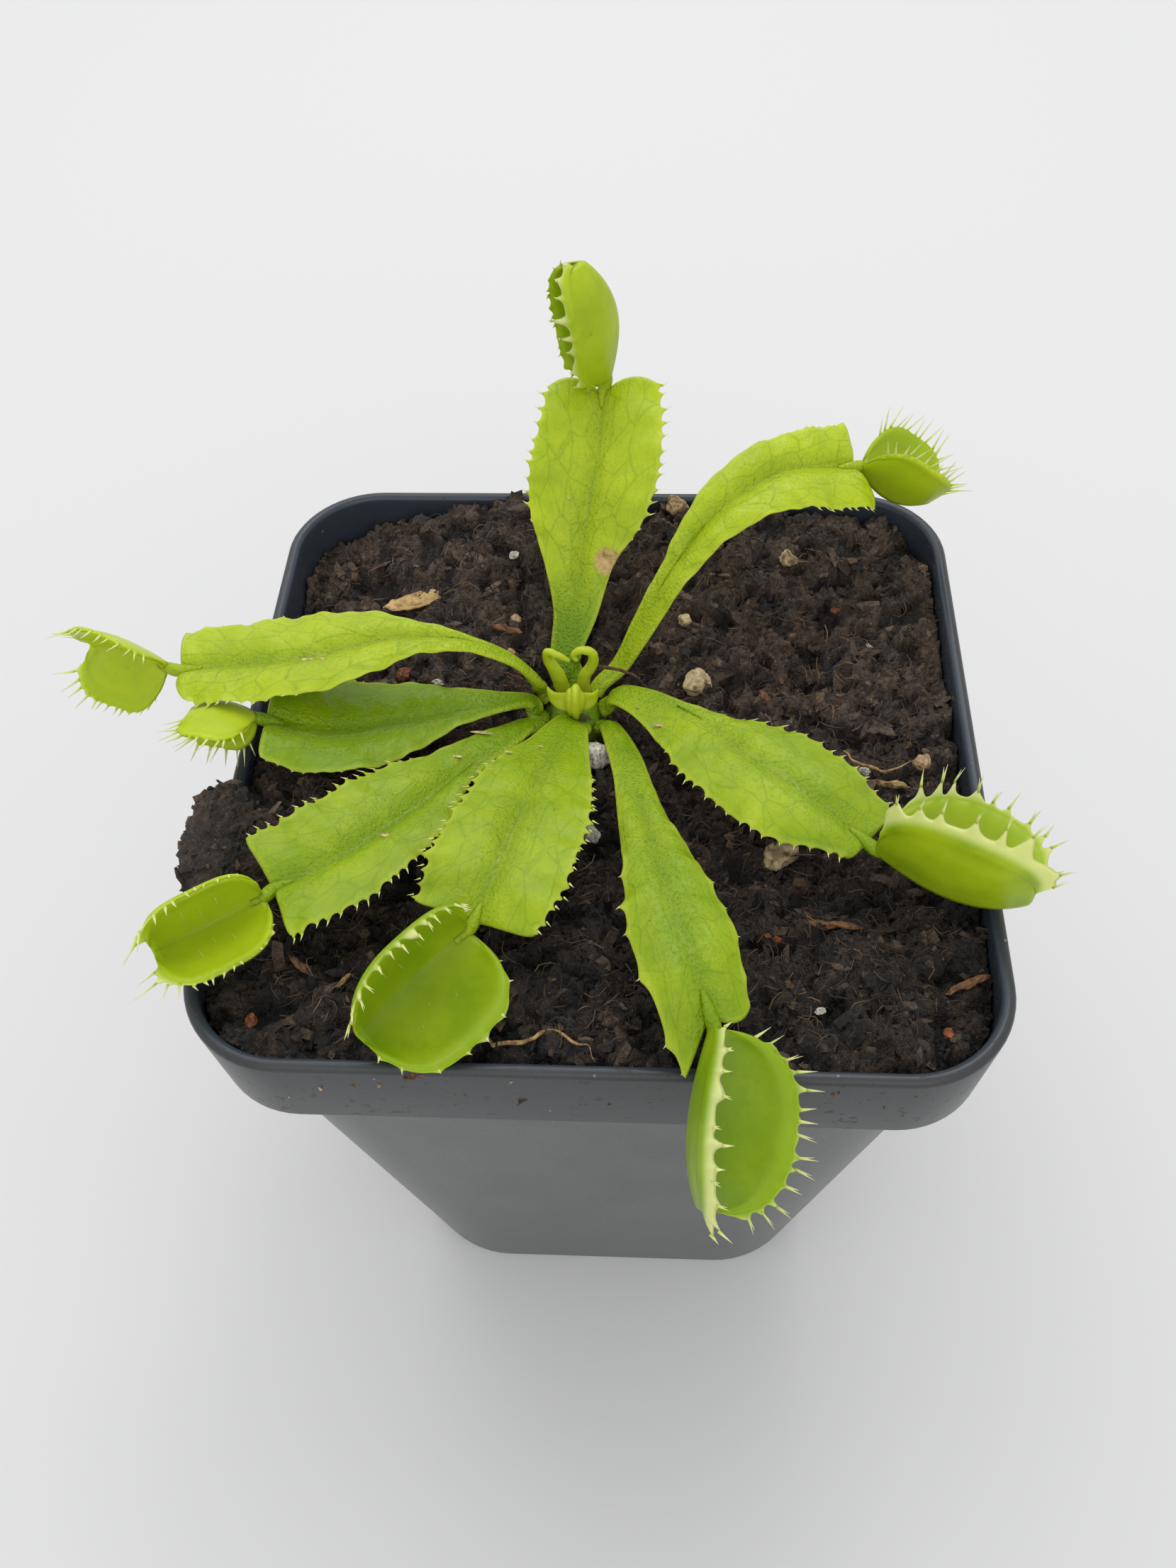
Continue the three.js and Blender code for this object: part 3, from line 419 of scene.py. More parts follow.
class Tree:
    """Adds nodes to a node tree and joins them up."""

    def __init__(self, tree):
        self.tree = tree

    def node(self, kind, settings=None, inputs=None, output=0):
        made = self.tree.nodes.new(kind)
        for key, value in (settings or {}).items():
            if key == "stops":
                set_stops(made.color_ramp, value)
            else:
                setattr(made, key, value)
        for key, value in (inputs or {}).items():
            self.feed(made.inputs[key], value)
        return Socket(self, made.outputs[output])

    def feed(self, socket, value):
        if isinstance(value, Socket):
            self.tree.links.new(value.output, socket)
        else:
            socket.default_value = value

    def combine(self, x, y, z):
        return self.node("ShaderNodeCombineXYZ", None, {0: x, 1: y, 2: z})

    def split(self, vector):
        part = self.tree.nodes.new("ShaderNodeSeparateXYZ")
        self.feed(part.inputs[0], vector)
        return [Socket(self, output) for output in part.outputs]

    def vectors(self, operation, first, second, output=0):
        return self.node("ShaderNodeVectorMath", {"operation": operation}, {0: first, 1: second}, output)


def set_stops(ramp, stops):
    while len(ramp.elements) < len(stops):
        ramp.elements.new(1)
    for element, (position, shade) in zip(ramp.elements, stops):
        element.position = position
        element.color = shade


class Finish(Tree):
    """A material under construction, with textures measured in millimetres."""

    def __init__(self, name, **constants):
        self.material = bpy.data.materials.new(name)
        self.material.use_nodes = True
        super().__init__(self.material.node_tree)
        self.shader = self.tree.nodes["Principled BSDF"]
        for key, value in constants.items():
            self.shader.inputs[key.replace("_", " ")].default_value = value
        self.place = self.scaled(self.node("ShaderNodeTexCoord", output=3), 1 / MM)

    def set(self, **inputs):
        for key, value in inputs.items():
            self.feed(self.shader.inputs[key.replace("_", " ")], value)
        return self.material

    def scaled(self, vector, scale):
        factor = (scale, scale, scale) if isinstance(scale, (int, float)) else scale
        return self.vectors("MULTIPLY", vector, factor)

    def attribute(self, name):
        return self.node("ShaderNodeAttribute", {"attribute_name": name}, output=2)

    def noise(self, size, detail, where=None, roughness=0.5, distortion=0.0):
        """Cloudy noise from 0 to 1, with features of that size."""
        return self.node("ShaderNodeTexNoise", None, {
            "Vector": where or self.place, "Scale": 1 / size, "Detail": detail,
            "Roughness": roughness, "Distortion": distortion,
        })

    def cells(self, size, feature="F1", where=None):
        """Distance to the middle or edge of cells of that size."""
        return self.node("ShaderNodeTexVoronoi", {"feature": feature},
                         {"Vector": where or self.place, "Scale": 1 / size})

    def spots(self, size, low, high):
        """1 in the middle of each cell, fading out between the two distances."""
        return 1 - self.cells(size).between(low, high)

    def net(self, size, width, where):
        """1 along the edges of cells, fading out within the width."""
        return 1 - self.cells(size, "DISTANCE_TO_EDGE", where).between(0.0, width)

    def mix(self, factor, first, second):
        return self.node("ShaderNodeMix", {"data_type": "RGBA"}, {0: factor, 6: first, 7: second}, 2)

    def ramp(self, factor, *stops):
        return self.node("ShaderNodeValToRGB", {"stops": stops}, {0: factor})

    def bump(self, height, distance, strength):
        """Surface normal of a height from 0 to 1 that stands up by the distance in millimetres."""
        return self.node("ShaderNodeBump", None,
                         {"Height": height, "Distance": distance * MM, "Strength": strength})


# Curves, sheets and other closed meshes

def unit(vectors):
    return vectors / np.maximum(np.linalg.norm(vectors, axis=-1, keepdims=True), 1e-9)


def smoothstep(values, low, high):
    share = np.clip((values - low) / (high - low), 0, 1)
    return share * share * (3 - 2 * share)


def hermite(start, end, leave, arrive, w):
    """Values at shares w of the smooth curve from start to end that leaves and arrives at those rates."""
    bend = 3 * (end - start) - 2 * leave - arrive
    return start + leave * w + bend * w ** 2 + (2 * (start - end) + leave + arrive) * w ** 3


def travelled(line):
    """Distance along a line of points, from its first."""
    return np.r_[0, np.cumsum(np.linalg.norm(np.diff(line, axis=0), axis=1))]


def smooth_path(points, count):
    """Evenly spaced points on a smooth curve through the points."""
    knots = [np.array(p, float) for p in points]
    knots = [2 * knots[0] - knots[1], *knots, 2 * knots[-1] - knots[-2]]
    dense = []
    for a, b, c, d in zip(knots, knots[1:], knots[2:], knots[3:]):
        before, middle, after = (np.linalg.norm(q - p) ** 0.5 for p, q in ((a, b), (b, c), (c, d)))
        leave = middle * ((b - a) / before - (c - a) / (before + middle) + (c - b) / middle)
        arrive = middle * ((c - b) / middle - (d - b) / (middle + after) + (d - c) / after)
        dense.append(hermite(b, c, leave, arrive, np.linspace(0, 1, CURVE_STEPS, endpoint=False)[:, None]))
    dense = np.vstack([*dense, knots[-2]])
    reach = travelled(dense)
    even = np.linspace(0, reach[-1], count)
    return np.column_stack([np.interp(even, reach, dense[:, k]) for k in range(3)])


def along(values, t):
    """Numbers that run smoothly through evenly spaced values, at shares t of the way."""
    values = np.array(values, float)
    last = len(values) - 1
    position = np.clip(np.asarray(t) * last, 0, last)
    i = np.minimum(position.astype(int), last - 1)
    before, start, end, after = (values[np.clip(i + k, 0, last)] for k in (-1, 0, 1, 2))
    return hermite(start, end, (end - before) / 2, (after - start) / 2, position - i)


def grain(points, size, depth, seed=0.0):
    """Cloudy noise of about -1 to 1 at each point, with features of that size."""
    shift = Vector((seed, 2.3 * seed, -1.7 * seed))
    flat = np.asarray(points, float).reshape(-1, 3) / size
    values = [noise.fractal(Vector(p) + shift, 1.0, 2.0, depth) for p in flat]
    return np.array(values).reshape(np.asarray(points).shape[:-1])


class Form:
    """Points and faces of a closed mesh, with a number of each named kind at every point."""

    def __init__(self, points, faces, **attributes):
        self.points = np.asarray(points, float).reshape(-1, 3)
        self.faces = [tuple(face) for face in faces]
        self.attributes = {k: np.broadcast_to(np.asarray(v, float).ravel() if np.ndim(v) else v,
                                              (len(self.points),)) for k, v in attributes.items()}

    def __add__(self, other):
        shift = len(self.points)
        joined = Form(np.vstack([self.points, other.points]),
                      self.faces + [tuple(i + shift for i in face) for face in other.faces])
        for key in {**self.attributes, **other.attributes}:
            joined.attributes[key] = np.concatenate([
                form.attributes.get(key, np.zeros(len(form.points))) for form in (self, other)])
        return joined

    def mesh(self, name):
        made = bpy.data.meshes.new(name)
        made.from_pydata((self.points * MM).tolist(), [], self.faces)
        for key, values in self.attributes.items():
            made.attributes.new(key, "FLOAT", "POINT").data.foreach_set("value", values.astype(np.float32))
        work = bmesh.new()
        work.from_mesh(made)
        bmesh.ops.remove_doubles(work, verts=work.verts, dist=1e-4 * MM)
        bmesh.ops.dissolve_degenerate(work, edges=work.edges, dist=1e-4 * MM)
        work.to_mesh(made)
        work.free()
        made.shade_smooth()
        return made


def grid_faces(rows, columns, wrap=False):
    """Four-sided faces between rows of points, facing along columns × rows."""
    steps = columns if wrap else columns - 1
    return [(i * columns + j, i * columns + (j + 1) % columns,
             (i + 1) * columns + (j + 1) % columns, (i + 1) * columns + j)
            for i in range(rows - 1) for j in range(steps)]


def skin(rings, **attributes):
    """Closed form through a stack of rings, anticlockwise from above and going up."""
    rings = np.asarray(rings, float)
    rows, columns = rings.shape[:2]
    points = np.vstack([rings.reshape(-1, 3), rings[0].mean(0), rings[-1].mean(0)])
    faces = grid_faces(rows, columns, wrap=True)
    low, high = rows * columns, rows * columns + 1
    top = (rows - 1) * columns
    faces += [(low, (j + 1) % columns, j) for j in range(columns)]
    faces += [(high, top + j, top + (j + 1) % columns) for j in range(columns)]
    return Form(points, faces, **attributes)


def sheet(middle, half, **attributes):
    """Closed form of a sheet: rows of points in its middle surface, half its thickness at each, and
    attributes, given for both sides at once or as a pair for the upper and the lower side."""
    rows, columns = middle.shape[:2]
    across = unit(np.gradient(middle, axis=1))
    ahead = unit(np.gradient(middle, axis=0))
    normal = unit(np.cross(across, ahead))
    upper = middle + normal * half[..., None]
    lower = middle - normal * half[..., None]
    faces = grid_faces(rows, columns)
    count = rows * columns
    faces += [tuple(count + i for i in reversed(face)) for face in faces]
    faces += [(j + 1, j, count + j, count + j + 1) for j in range(columns - 1)]
    both = {}
    for key, value in attributes.items():
        sides = value if isinstance(value, tuple) else (value, value)
        both[key] = np.concatenate([np.broadcast_to(side, (rows, columns)).ravel() for side in sides])
    return Form(np.vstack([upper.reshape(-1, 3), lower.reshape(-1, 3)]), faces, **both)


def tube(points, radii, sides=16, steps=32, **attributes):
    """Round tube along a smooth curve, its radius running through the radii."""
    path = smooth_path(points, steps + 1)
    ahead = unit(np.gradient(path, axis=0))
    radius = along(radii, np.linspace(0, 1, steps + 1))
    normal = unit(np.cross(ahead[0], (0.31, 0.53, 0.79)))
    rings = []
    for centre, way, size in zip(path, ahead, radius):
        normal = unit(normal - way * (normal @ way))
        other = np.cross(way, normal)
        turn = np.linspace(0, 2 * math.pi, sides, endpoint=False)[:, None]
        rings.append(centre + size * (np.cos(turn) * normal + np.sin(turn) * other))
    return skin(rings, **attributes)


def square_ring(half, corner, z):
    """Square section with round corners, anticlockwise from above."""
    ring = []
    for quarter in range(4):
        x = half - corner if quarter in (0, 3) else corner - half
        y = half - corner if quarter < 2 else corner - half
        turn = (quarter + np.linspace(0, 1, CORNER_STEPS + 1)) * math.pi / 2
        ring += [(x + corner * math.cos(a), y + corner * math.sin(a), z) for a in turn]
        end = np.array(ring[-1])
        step = np.array((math.cos(turn[-1] + math.pi / 2), math.sin(turn[-1] + math.pi / 2), 0))
        length = 2 * (half - corner)
        ring += [tuple(end + step * length * k / SIDE_STEPS) for k in range(1, SIDE_STEPS)]
    return ring


def spin(angle):
    """Matrix that turns points about the upright axis."""
    level, tall = math.cos(angle), math.sin(angle)
    return np.array(((level, -tall, 0), (tall, level, 0), (0, 0, 1)))


def pebble(at, radii, seed, roughness, fineness):
    """Rough round lump."""
    work = bmesh.new()
    bmesh.ops.create_icosphere(work, subdivisions=fineness, radius=1)
    points = np.array([v.co[:] for v in work.verts])
    faces = [[v.index for v in face.verts] for face in work.faces]
    work.free()
    swell = 1 + roughness * grain(points, 1.1, 4, seed)
    spun = points * swell[:, None] * radii
    return Form(spun @ spin(2.4 * seed).T + at, faces)


def together(forms):
    """All the forms as one."""
    return sum(forms[1:], forms[0])


def place(name, data, material=None):
    """Object of a mesh, light or camera, in the scene."""
    if material:
        data.materials.append(material)
    made = bpy.data.objects.new(name, data)
    bpy.context.scene.collection.objects.link(made)
    return made


def plain_mesh(piece):
    """Mesh of an object as its modifiers leave it."""
    graph = bpy.context.evaluated_depsgraph_get()
    return bpy.data.meshes.new_from_object(piece.evaluated_get(graph), depsgraph=graph)


def finish_piece(piece, slot, *nodes):
    """Parents a finished piece to the body's empty and hides the CAD parts that it replaces."""
    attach(piece, BODY)
    if nodes:
        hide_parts(*nodes)


def cut(piece, tools):
    """Cuts the tools' shapes out of a piece."""
    for tool in tools:
        cutter = place("cutter", tool.mesh("cutter"))
        modifier = piece.modifiers.new("cut", "BOOLEAN")
        modifier.object = cutter
        modifier.operation = "DIFFERENCE"
        modifier.solver = "MANIFOLD"
        made = plain_mesh(piece)
        piece.modifiers.remove(modifier)
        piece.data = made
        bpy.data.objects.remove(cutter)


# Geometry Nodes

class Grower(Tree):
    """A Geometry Nodes tree with named inputs, which turns a source mesh into what grows on it."""

    def __init__(self, name, **inputs):
        super().__init__(bpy.data.node_groups.new(name, "GeometryNodeTree"))
        face = self.tree.interface
        face.new_socket("Geometry", in_out="INPUT", socket_type="NodeSocketGeometry")
        face.new_socket("Material", in_out="INPUT", socket_type="NodeSocketMaterial")
        for key, value in inputs.items():
            kind = "NodeSocketInt" if isinstance(value, int) else "NodeSocketFloat"
            face.new_socket(key, in_out="INPUT", socket_type=kind).default_value = value
        face.new_socket("Geometry", in_out="OUTPUT", socket_type="NodeSocketGeometry")
        self.entry = self.tree.nodes.new("NodeGroupInput")
        self.geometry = self.given("Geometry")

    def given(self, name):
        return Socket(self, self.entry.outputs[name])

    def named(self, name, kind="FLOAT"):
        return self.node("GeometryNodeInputNamedAttribute", {"data_type": kind}, {"Name": name})

    def random(self, low, high, seed):
        return self.node("FunctionNodeRandomValue", {"data_type": "FLOAT"},
                         {2: low, 3: high, "Seed": seed}, 1)

    def random_vector(self, low, high, seed):
        return self.node("FunctionNodeRandomValue", {"data_type": "FLOAT_VECTOR"},
                         {0: low, 1: high, "Seed": seed})

    def store(self, geometry, name, value, domain="POINT"):
        return self.node("GeometryNodeStoreNamedAttribute", {"data_type": "FLOAT", "domain": domain},
                         {"Geometry": geometry, "Name": name, "Value": value})

    def join(self, *parts):
        joiner = self.tree.nodes.new("GeometryNodeJoinGeometry")
        for part in parts:
            self.tree.links.new(part.output, joiner.inputs[0])
        return Socket(self, joiner.outputs[0])

    def instances(self, points, shape, rotation, scale, **more):
        return self.node("GeometryNodeInstanceOnPoints", None, {
            "Points": points, "Instance": shape, "Rotation": rotation, "Scale": scale, **more})

    def close(self, geometry):
        """Ends the tree, with its instances made real and its material set."""
        real = self.node("GeometryNodeRealizeInstances", None, {"Geometry": geometry})
        done = self.node("GeometryNodeSetMaterial", None,
                         {"Geometry": real, "Material": self.given("Material")})
        end = self.tree.nodes.new("NodeGroupOutput")
        self.tree.links.new(done.output, end.inputs["Geometry"])
        return self.tree


def grow(name, source, tree, material, **inputs):
    """Object of the plain mesh that a Geometry Nodes tree makes from a source mesh."""
    holder = place(name + "_source", source)
    modifier = holder.modifiers.new("grow", "NODES")
    modifier.node_group = tree
    values = {"Material": material, **inputs}
    for item in tree.interface.items_tree:
        if item.item_type == "SOCKET" and item.in_out == "INPUT" and item.name in values:
            modifier[item.identifier] = values[item.name]
    made = plain_mesh(holder)
    bpy.data.objects.remove(holder)
    return place(name, made)


def spike_shape(tree, width, thickness, bend, lean=0.0, length=1.0):
    """Pointed spike along Z, flattened along X, with its height stored as tip."""
    cone = tree.node("GeometryNodeMeshCone", {"fill_type": "NGON"}, {
        "Vertices": 8, "Side Segments": 5, "Radius Top": 0.06, "Radius Bottom": 0.5, "Depth": length})
    x, y, z = tree.split(tree.node("GeometryNodeInputPosition"))
    swell = 1 - 0.25 * z * z
    moved = tree.node("GeometryNodeSetPosition", None, {
        "Geometry": cone,
        "Position": tree.combine(x * thickness * swell + bend * z * z, y * width * swell + lean * z, z),
    })
    return tree.store(moved, "tip", z)


def spike_tree():
    """Teeth, bristles and hairs: one at each point, along its way and facing its face."""
    tree = Grower("Spikes", Width=0.5 * MM, Thickness=0.35 * MM, Bend=0.15)
    aim = tree.node("FunctionNodeAlignRotationToVector", {"axis": "Z"},
                    {"Vector": tree.named("way", "FLOAT_VECTOR")})
    aim = tree.node("FunctionNodeAlignRotationToVector", {"axis": "X", "pivot_axis": "Z"},
                    {"Rotation": aim, "Vector": tree.named("face", "FLOAT_VECTOR")})
    girth = tree.named("girth")
    scale = tree.combine(tree.given("Thickness") * girth, tree.given("Width") * girth, tree.named("size"))
    thicknesses_in_length = 4.0
    bend = tree.given("Bend") * thicknesses_in_length
    plain = spike_shape(tree, 1.0, 1.0, bend)
    left = spike_shape(tree, 0.75, 1.0, bend, lean=0.42, length=0.9)
    right = spike_shape(tree, 0.7, 0.9, bend, lean=-0.5, length=0.72)
    forked = tree.join(left, right)
    fork = tree.named("fork")
    ones = tree.instances(tree.geometry, plain, aim, scale, Selection=0.5 > fork)
    pairs = tree.instances(tree.geometry, forked, aim, scale, Selection=fork > 0.5)
    return tree.close(tree.join(ones, pairs))


def scatter(tree, steepest, lowest, reach):
    """Random points over the parts of the tree's mesh that face up, lie high enough, are in no hollow and
    are within reach of the middle, in a square with round corners."""
    rise = tree.split(tree.node("GeometryNodeInputNormal"))[2]
    x, y, z = tree.split(tree.node("GeometryNodeInputPosition"))
    within = abs(x / (reach * MM)) ** 6 + abs(y / (reach * MM)) ** 6 < 1
    level = tree.named("hollow") < 0.4
    return tree.node("GeometryNodeDistributePointsOnFaces", None, {
        "Mesh": tree.geometry, "Selection": (rise > steepest) * (z > lowest * MM) * within * level,
        "Density": tree.given("Density"), "Seed": tree.given("Seed")})


def with_tone(tree, instances, seed):
    """The instances with a random tone from 0 to 1 on each."""
    return tree.store(instances, "tone", tree.random(0.0, 1.0, seed), "INSTANCE")


def one_of(pick, k):
    """True where a random pick falls between k and the next whole number."""
    return (pick > k) * (k + 1 > pick)


def crumb_tree():
    """Angular crumbs scattered over upward faces, some round, some flat and long."""
    tree = Grower("Crumbs", Density=0.5e6, Smallest=0.25 * MM, Largest=0.95 * MM, Flatness=0.5,
                  Stretch=1.5, Seed=3)
    seed = tree.given("Seed")
    points = scatter(tree, steepest=0.1, lowest=86, reach=52)
    turn = tree.random_vector((-TILT, -TILT, 0), (TILT, TILT, FULL_TURN), seed + 1)
    chance = tree.random(0.0, 1.0, seed + 2)
    size = tree.given("Smallest") + (tree.given("Largest") - tree.given("Smallest")) * chance ** 4
    flat = tree.given("Flatness") * tree.random(0.6, 1.4, seed + 3)
    long = tree.given("Stretch") * tree.random(0.7, 1.4, seed + 4)
    scale = tree.combine(size, size * long, size * flat)
    pick = tree.random(0.0, SHAPES - 0.001, seed + 6)
    parts = []
    for k in range(SHAPES):
        ball = tree.node("GeometryNodeMeshIcoSphere", None, {"Radius": 1.0, "Subdivisions": 1})
        shifted = tree.vectors("ADD", tree.node("GeometryNodeInputPosition"), (3.7 * k, k, 0))
        cloud = tree.node("ShaderNodeTexNoise", None, {"Vector": shifted, "Scale": 1.1, "Detail": 1.0}, 1)
        push = tree.vectors("MULTIPLY", tree.vectors("SUBTRACT", cloud, (0.5, 0.5, 0.5)), (2.2, 2.2, 2.2))
        ball = tree.node("GeometryNodeSetPosition", None, {"Geometry": ball, "Offset": push})
        parts.append(tree.instances(points, ball, turn, scale, Selection=one_of(pick, k)))
    return tree.close(with_tone(tree, tree.join(*parts), seed + 5))


def fibre_tree():
    """Curved root fibres lying on the soil, arched up from it and turned every way."""
    tree = Grower("Fibres", Density=0.1e6, Girth=0.085 * MM, Longest=3.6 * MM, Seed=11)
    seed = tree.given("Seed")
    points = scatter(tree, steepest=0.3, lowest=88, reach=40.5)
    longest = tree.given("Longest")
    turn = tree.random_vector((-TILT, -TILT, 0), (TILT, TILT, FULL_TURN), seed + 1)
    length = 0.25 + 0.75 * tree.random(0.0, 1.0, seed + 2) ** 3.0
    thin = 0.5 + 0.5 * length
    scale = tree.combine(length, length, thin)
    pick = tree.random(0.0, SHAPES - 0.001, seed + 3)
    parts = []
    for k, (swing, lift) in enumerate(FIBRE_BENDS):
        bow = tree.node("GeometryNodeCurveQuadraticBezier", None, {
            "Resolution": 3, "Start": (-0.5, 0.0, -0.03), "Middle": (0.0, swing, lift),
            "End": (0.5, 0.1, -0.03)})
        bow = tree.node("GeometryNodeTransform", None, {
            "Geometry": bow, "Scale": tree.combine(longest, longest, longest)})
        ring = tree.node("GeometryNodeCurvePrimitiveCircle", None,
                         {"Resolution": 3, "Radius": tree.given("Girth")})
        fibre = tree.node("GeometryNodeCurveToMesh", None,
                          {"Curve": bow, "Profile Curve": ring, "Fill Caps": True})
        parts.append(tree.instances(points, fibre, turn, scale, Selection=one_of(pick, k)))
    return tree.close(with_tone(tree, tree.join(*parts), seed + 5))


# Materials

def pot_finish(settings):
    """Satin grey moulded plastic, finely grained, with dust specks and a little dried soil, and with painted
    shade that darkens the collar, the rim's inner half and the inside of the wall.
    """
    make = Finish("pot_plastic", Specular_IOR_Level=0.34)
    mottle = make.noise(11, 4)
    fine = make.noise(0.45, 3)
    specks = make.spots(2.6, 0.04, 0.08)
    dust = specks * make.noise(9, 2).between(0.42, 0.62)
    height = make.split(make.place)[2]
    soiled = make.noise(1.4, 5, roughness=0.65).between(0.58, 0.68) * height.between(66, 96)
    inner = make.attribute("inner")
    body = make.mix(mottle.between(0.3, 0.7), settings.colour, settings.worn_colour)
    body = make.mix((fine - 0.35) * 0.25, body, settings.dust_colour)
    # Painted shade: the collar is darkened towards a deeper grey
    collar = height.between(POT_HEIGHT - COLLAR_HEIGHT - 0.5, POT_HEIGHT - COLLAR_HEIGHT + 0.5)
    body = make.mix(collar * 0.72, body, settings.collar_shade_colour)
    # Painted shade: the inner half of the rim and the inside of the wall are darkened
    body = make.mix(inner * 0.8, body, settings.inner_shade_colour)
    body = make.mix(soiled * 0.55, body, colour(58, 50, 44))
    body = make.mix(dust * 0.8, body, settings.dust_colour)
    rough = settings.roughness + 0.3 * dust + 0.25 * soiled + 0.16 * (mottle - 0.5) - 0.1 * inner
    relief = make.noise(0.4, 3) * 0.6 + make.noise(6, 2) * 0.4
    return make.set(Base_Color=body, Roughness=rough, Normal=make.bump(relief, 0.05, 0.5))


def threads(make, size, angle):
    """Fine lines that run one way, 1 in the middle of each."""
    spun = make.node("ShaderNodeVectorRotate", {"rotation_type": "Z_AXIS"},
                     {"Vector": make.place, "Angle": angle})
    cloud = make.noise(size, 3, make.scaled(spun, (1, 0.13, 0.6)), 0.6, 0.4)
    return 1 - abs(cloud - 0.5).between(0.0, 0.05)


def peat_finish(settings, name="peat_soil", tone=None):
    """Dark peat, from near black to tobacco brown, matted with fine fibres, glinting where it is damp, paler
    towards the back as a painted highlight of the light from behind, and with painted shade in its hollows."""
    make = Finish(name, Specular_IOR_Level=0.6)
    patches = make.noise(5, 5, roughness=0.7)
    fine = make.noise(0.5, 4, roughness=0.75)
    # Painted highlight: the peat turns paler towards the back, for the light that falls from behind
    back = make.split(make.place)[1].between(-30, 15)
    share = 0.5 * patches + 0.5 * fine + 0.12 * (back - 0.3)
    if tone:
        share = 0.62 * share + 0.38 * make.attribute(tone)
    matted = sum((threads(make, size, angle) for size, angle in PEAT_THREADS), 0.0)
    matted = matted * make.noise(2.5, 2).between(0.4, 0.65)
    body = make.ramp(share, (0.38, settings.dark_colour), (0.5, settings.colour),
                     (0.62, settings.pale_colour), (0.8, colour(146, 116, 88)))
    body = make.mix(matted * 0.5, body, settings.pale_colour)
    # Painted shade: the hollows between the lumps are darkened towards the darkest peat
    body = make.mix(make.attribute("hollow") * 0.8, body, settings.dark_colour)
    curls = make.spots(0.7, 0.1, 0.7)
    damp = make.noise(1.1, 4, roughness=0.6).between(0.46, 0.58)
    relief = 0.5 * make.noise(0.35, 5, roughness=0.75) + 0.4 * curls + 0.35 * matted
    return make.set(Base_Color=body, Roughness=0.86 - 0.64 * damp, Normal=make.bump(relief, 0.75, 1.0))


def fibre_finish(settings):
    """Dry root fibres, from dark brown to straw."""
    make = Finish("peat_fibre", Specular_IOR_Level=0.5)
    share = 0.75 * make.attribute("tone") + 0.25 * make.noise(2, 3)
    body = make.ramp(share, (0.1, settings.dark_colour), (0.55, colour(62, 48, 38)),
                     (0.8, colour(98, 76, 56)), (0.95, colour(150, 120, 86)))
    return make.set(Base_Color=body, Roughness=0.36 + 0.3 * make.noise(1, 2),
                    Normal=make.bump(make.noise(0.2, 2), 0.04, 0.6))


def grain_finish(name, pale, dark, size, roughness):
    """Porous grain or chip of bark."""
    make = Finish(name, Specular_IOR_Level=0.4)
    pores = make.cells(size).between(0.15, 0.6)
    shade = make.noise(size * 2, 5, roughness=0.7).between(0.42, 0.62)
    body = make.mix(0.7 * shade + 0.3 * (1 - pores), colour(*pale), colour(*dark))
    relief = 0.6 * pores + 0.4 * make.noise(size, 4, roughness=0.7)
    return make.set(Base_Color=body, Roughness=roughness + 0.2 * shade, Normal=make.bump(relief, 0.3, 1.0))


def leaf_marks(make, settings, body, blade, rib, mottle):
    """A leaf's colour with its pale and dark dots, freckles, scars and the back leaf's brown blotch."""
    pale_dots = make.spots(0.6, 0.1, 0.2) * make.noise(5, 2).between(0.5, 0.65)
    body = make.mix(pale_dots * 0.3 * blade, body, settings.margin_colour)
    dark_dots = make.spots(0.8, 0.1, 0.16) * rib.bell(4.0) * make.noise(8, 2).between(0.4, 0.6)
    body = make.mix(dark_dots * 0.6 * blade, body, colour(66, 96, 8))
    freckles = make.spots(2.2, 0.04, 0.08) * make.noise(11, 2).between(0.5, 0.64)
    body = make.mix(freckles * 0.6, body, colour(70, 62, 20))
    scars = make.noise(6.5, 3, roughness=0.65).between(0.72, 0.78)
    body = make.mix(scars * 0.5, body, colour(124, 96, 24))
    apart = make.vectors("DISTANCE", make.place, BLOTCH_AT, 1)
    blotch = 1 - (apart + 2.4 * make.noise(1.6, 4, roughness=0.65)).between(2.3, 3.5)
    tan = make.ramp(mottle, (0.35, colour(132, 92, 50)), (0.5, colour(190, 152, 106)),
                    (0.65, colour(208, 176, 132)))
    return make.mix(blotch * 0.85, body, tan)


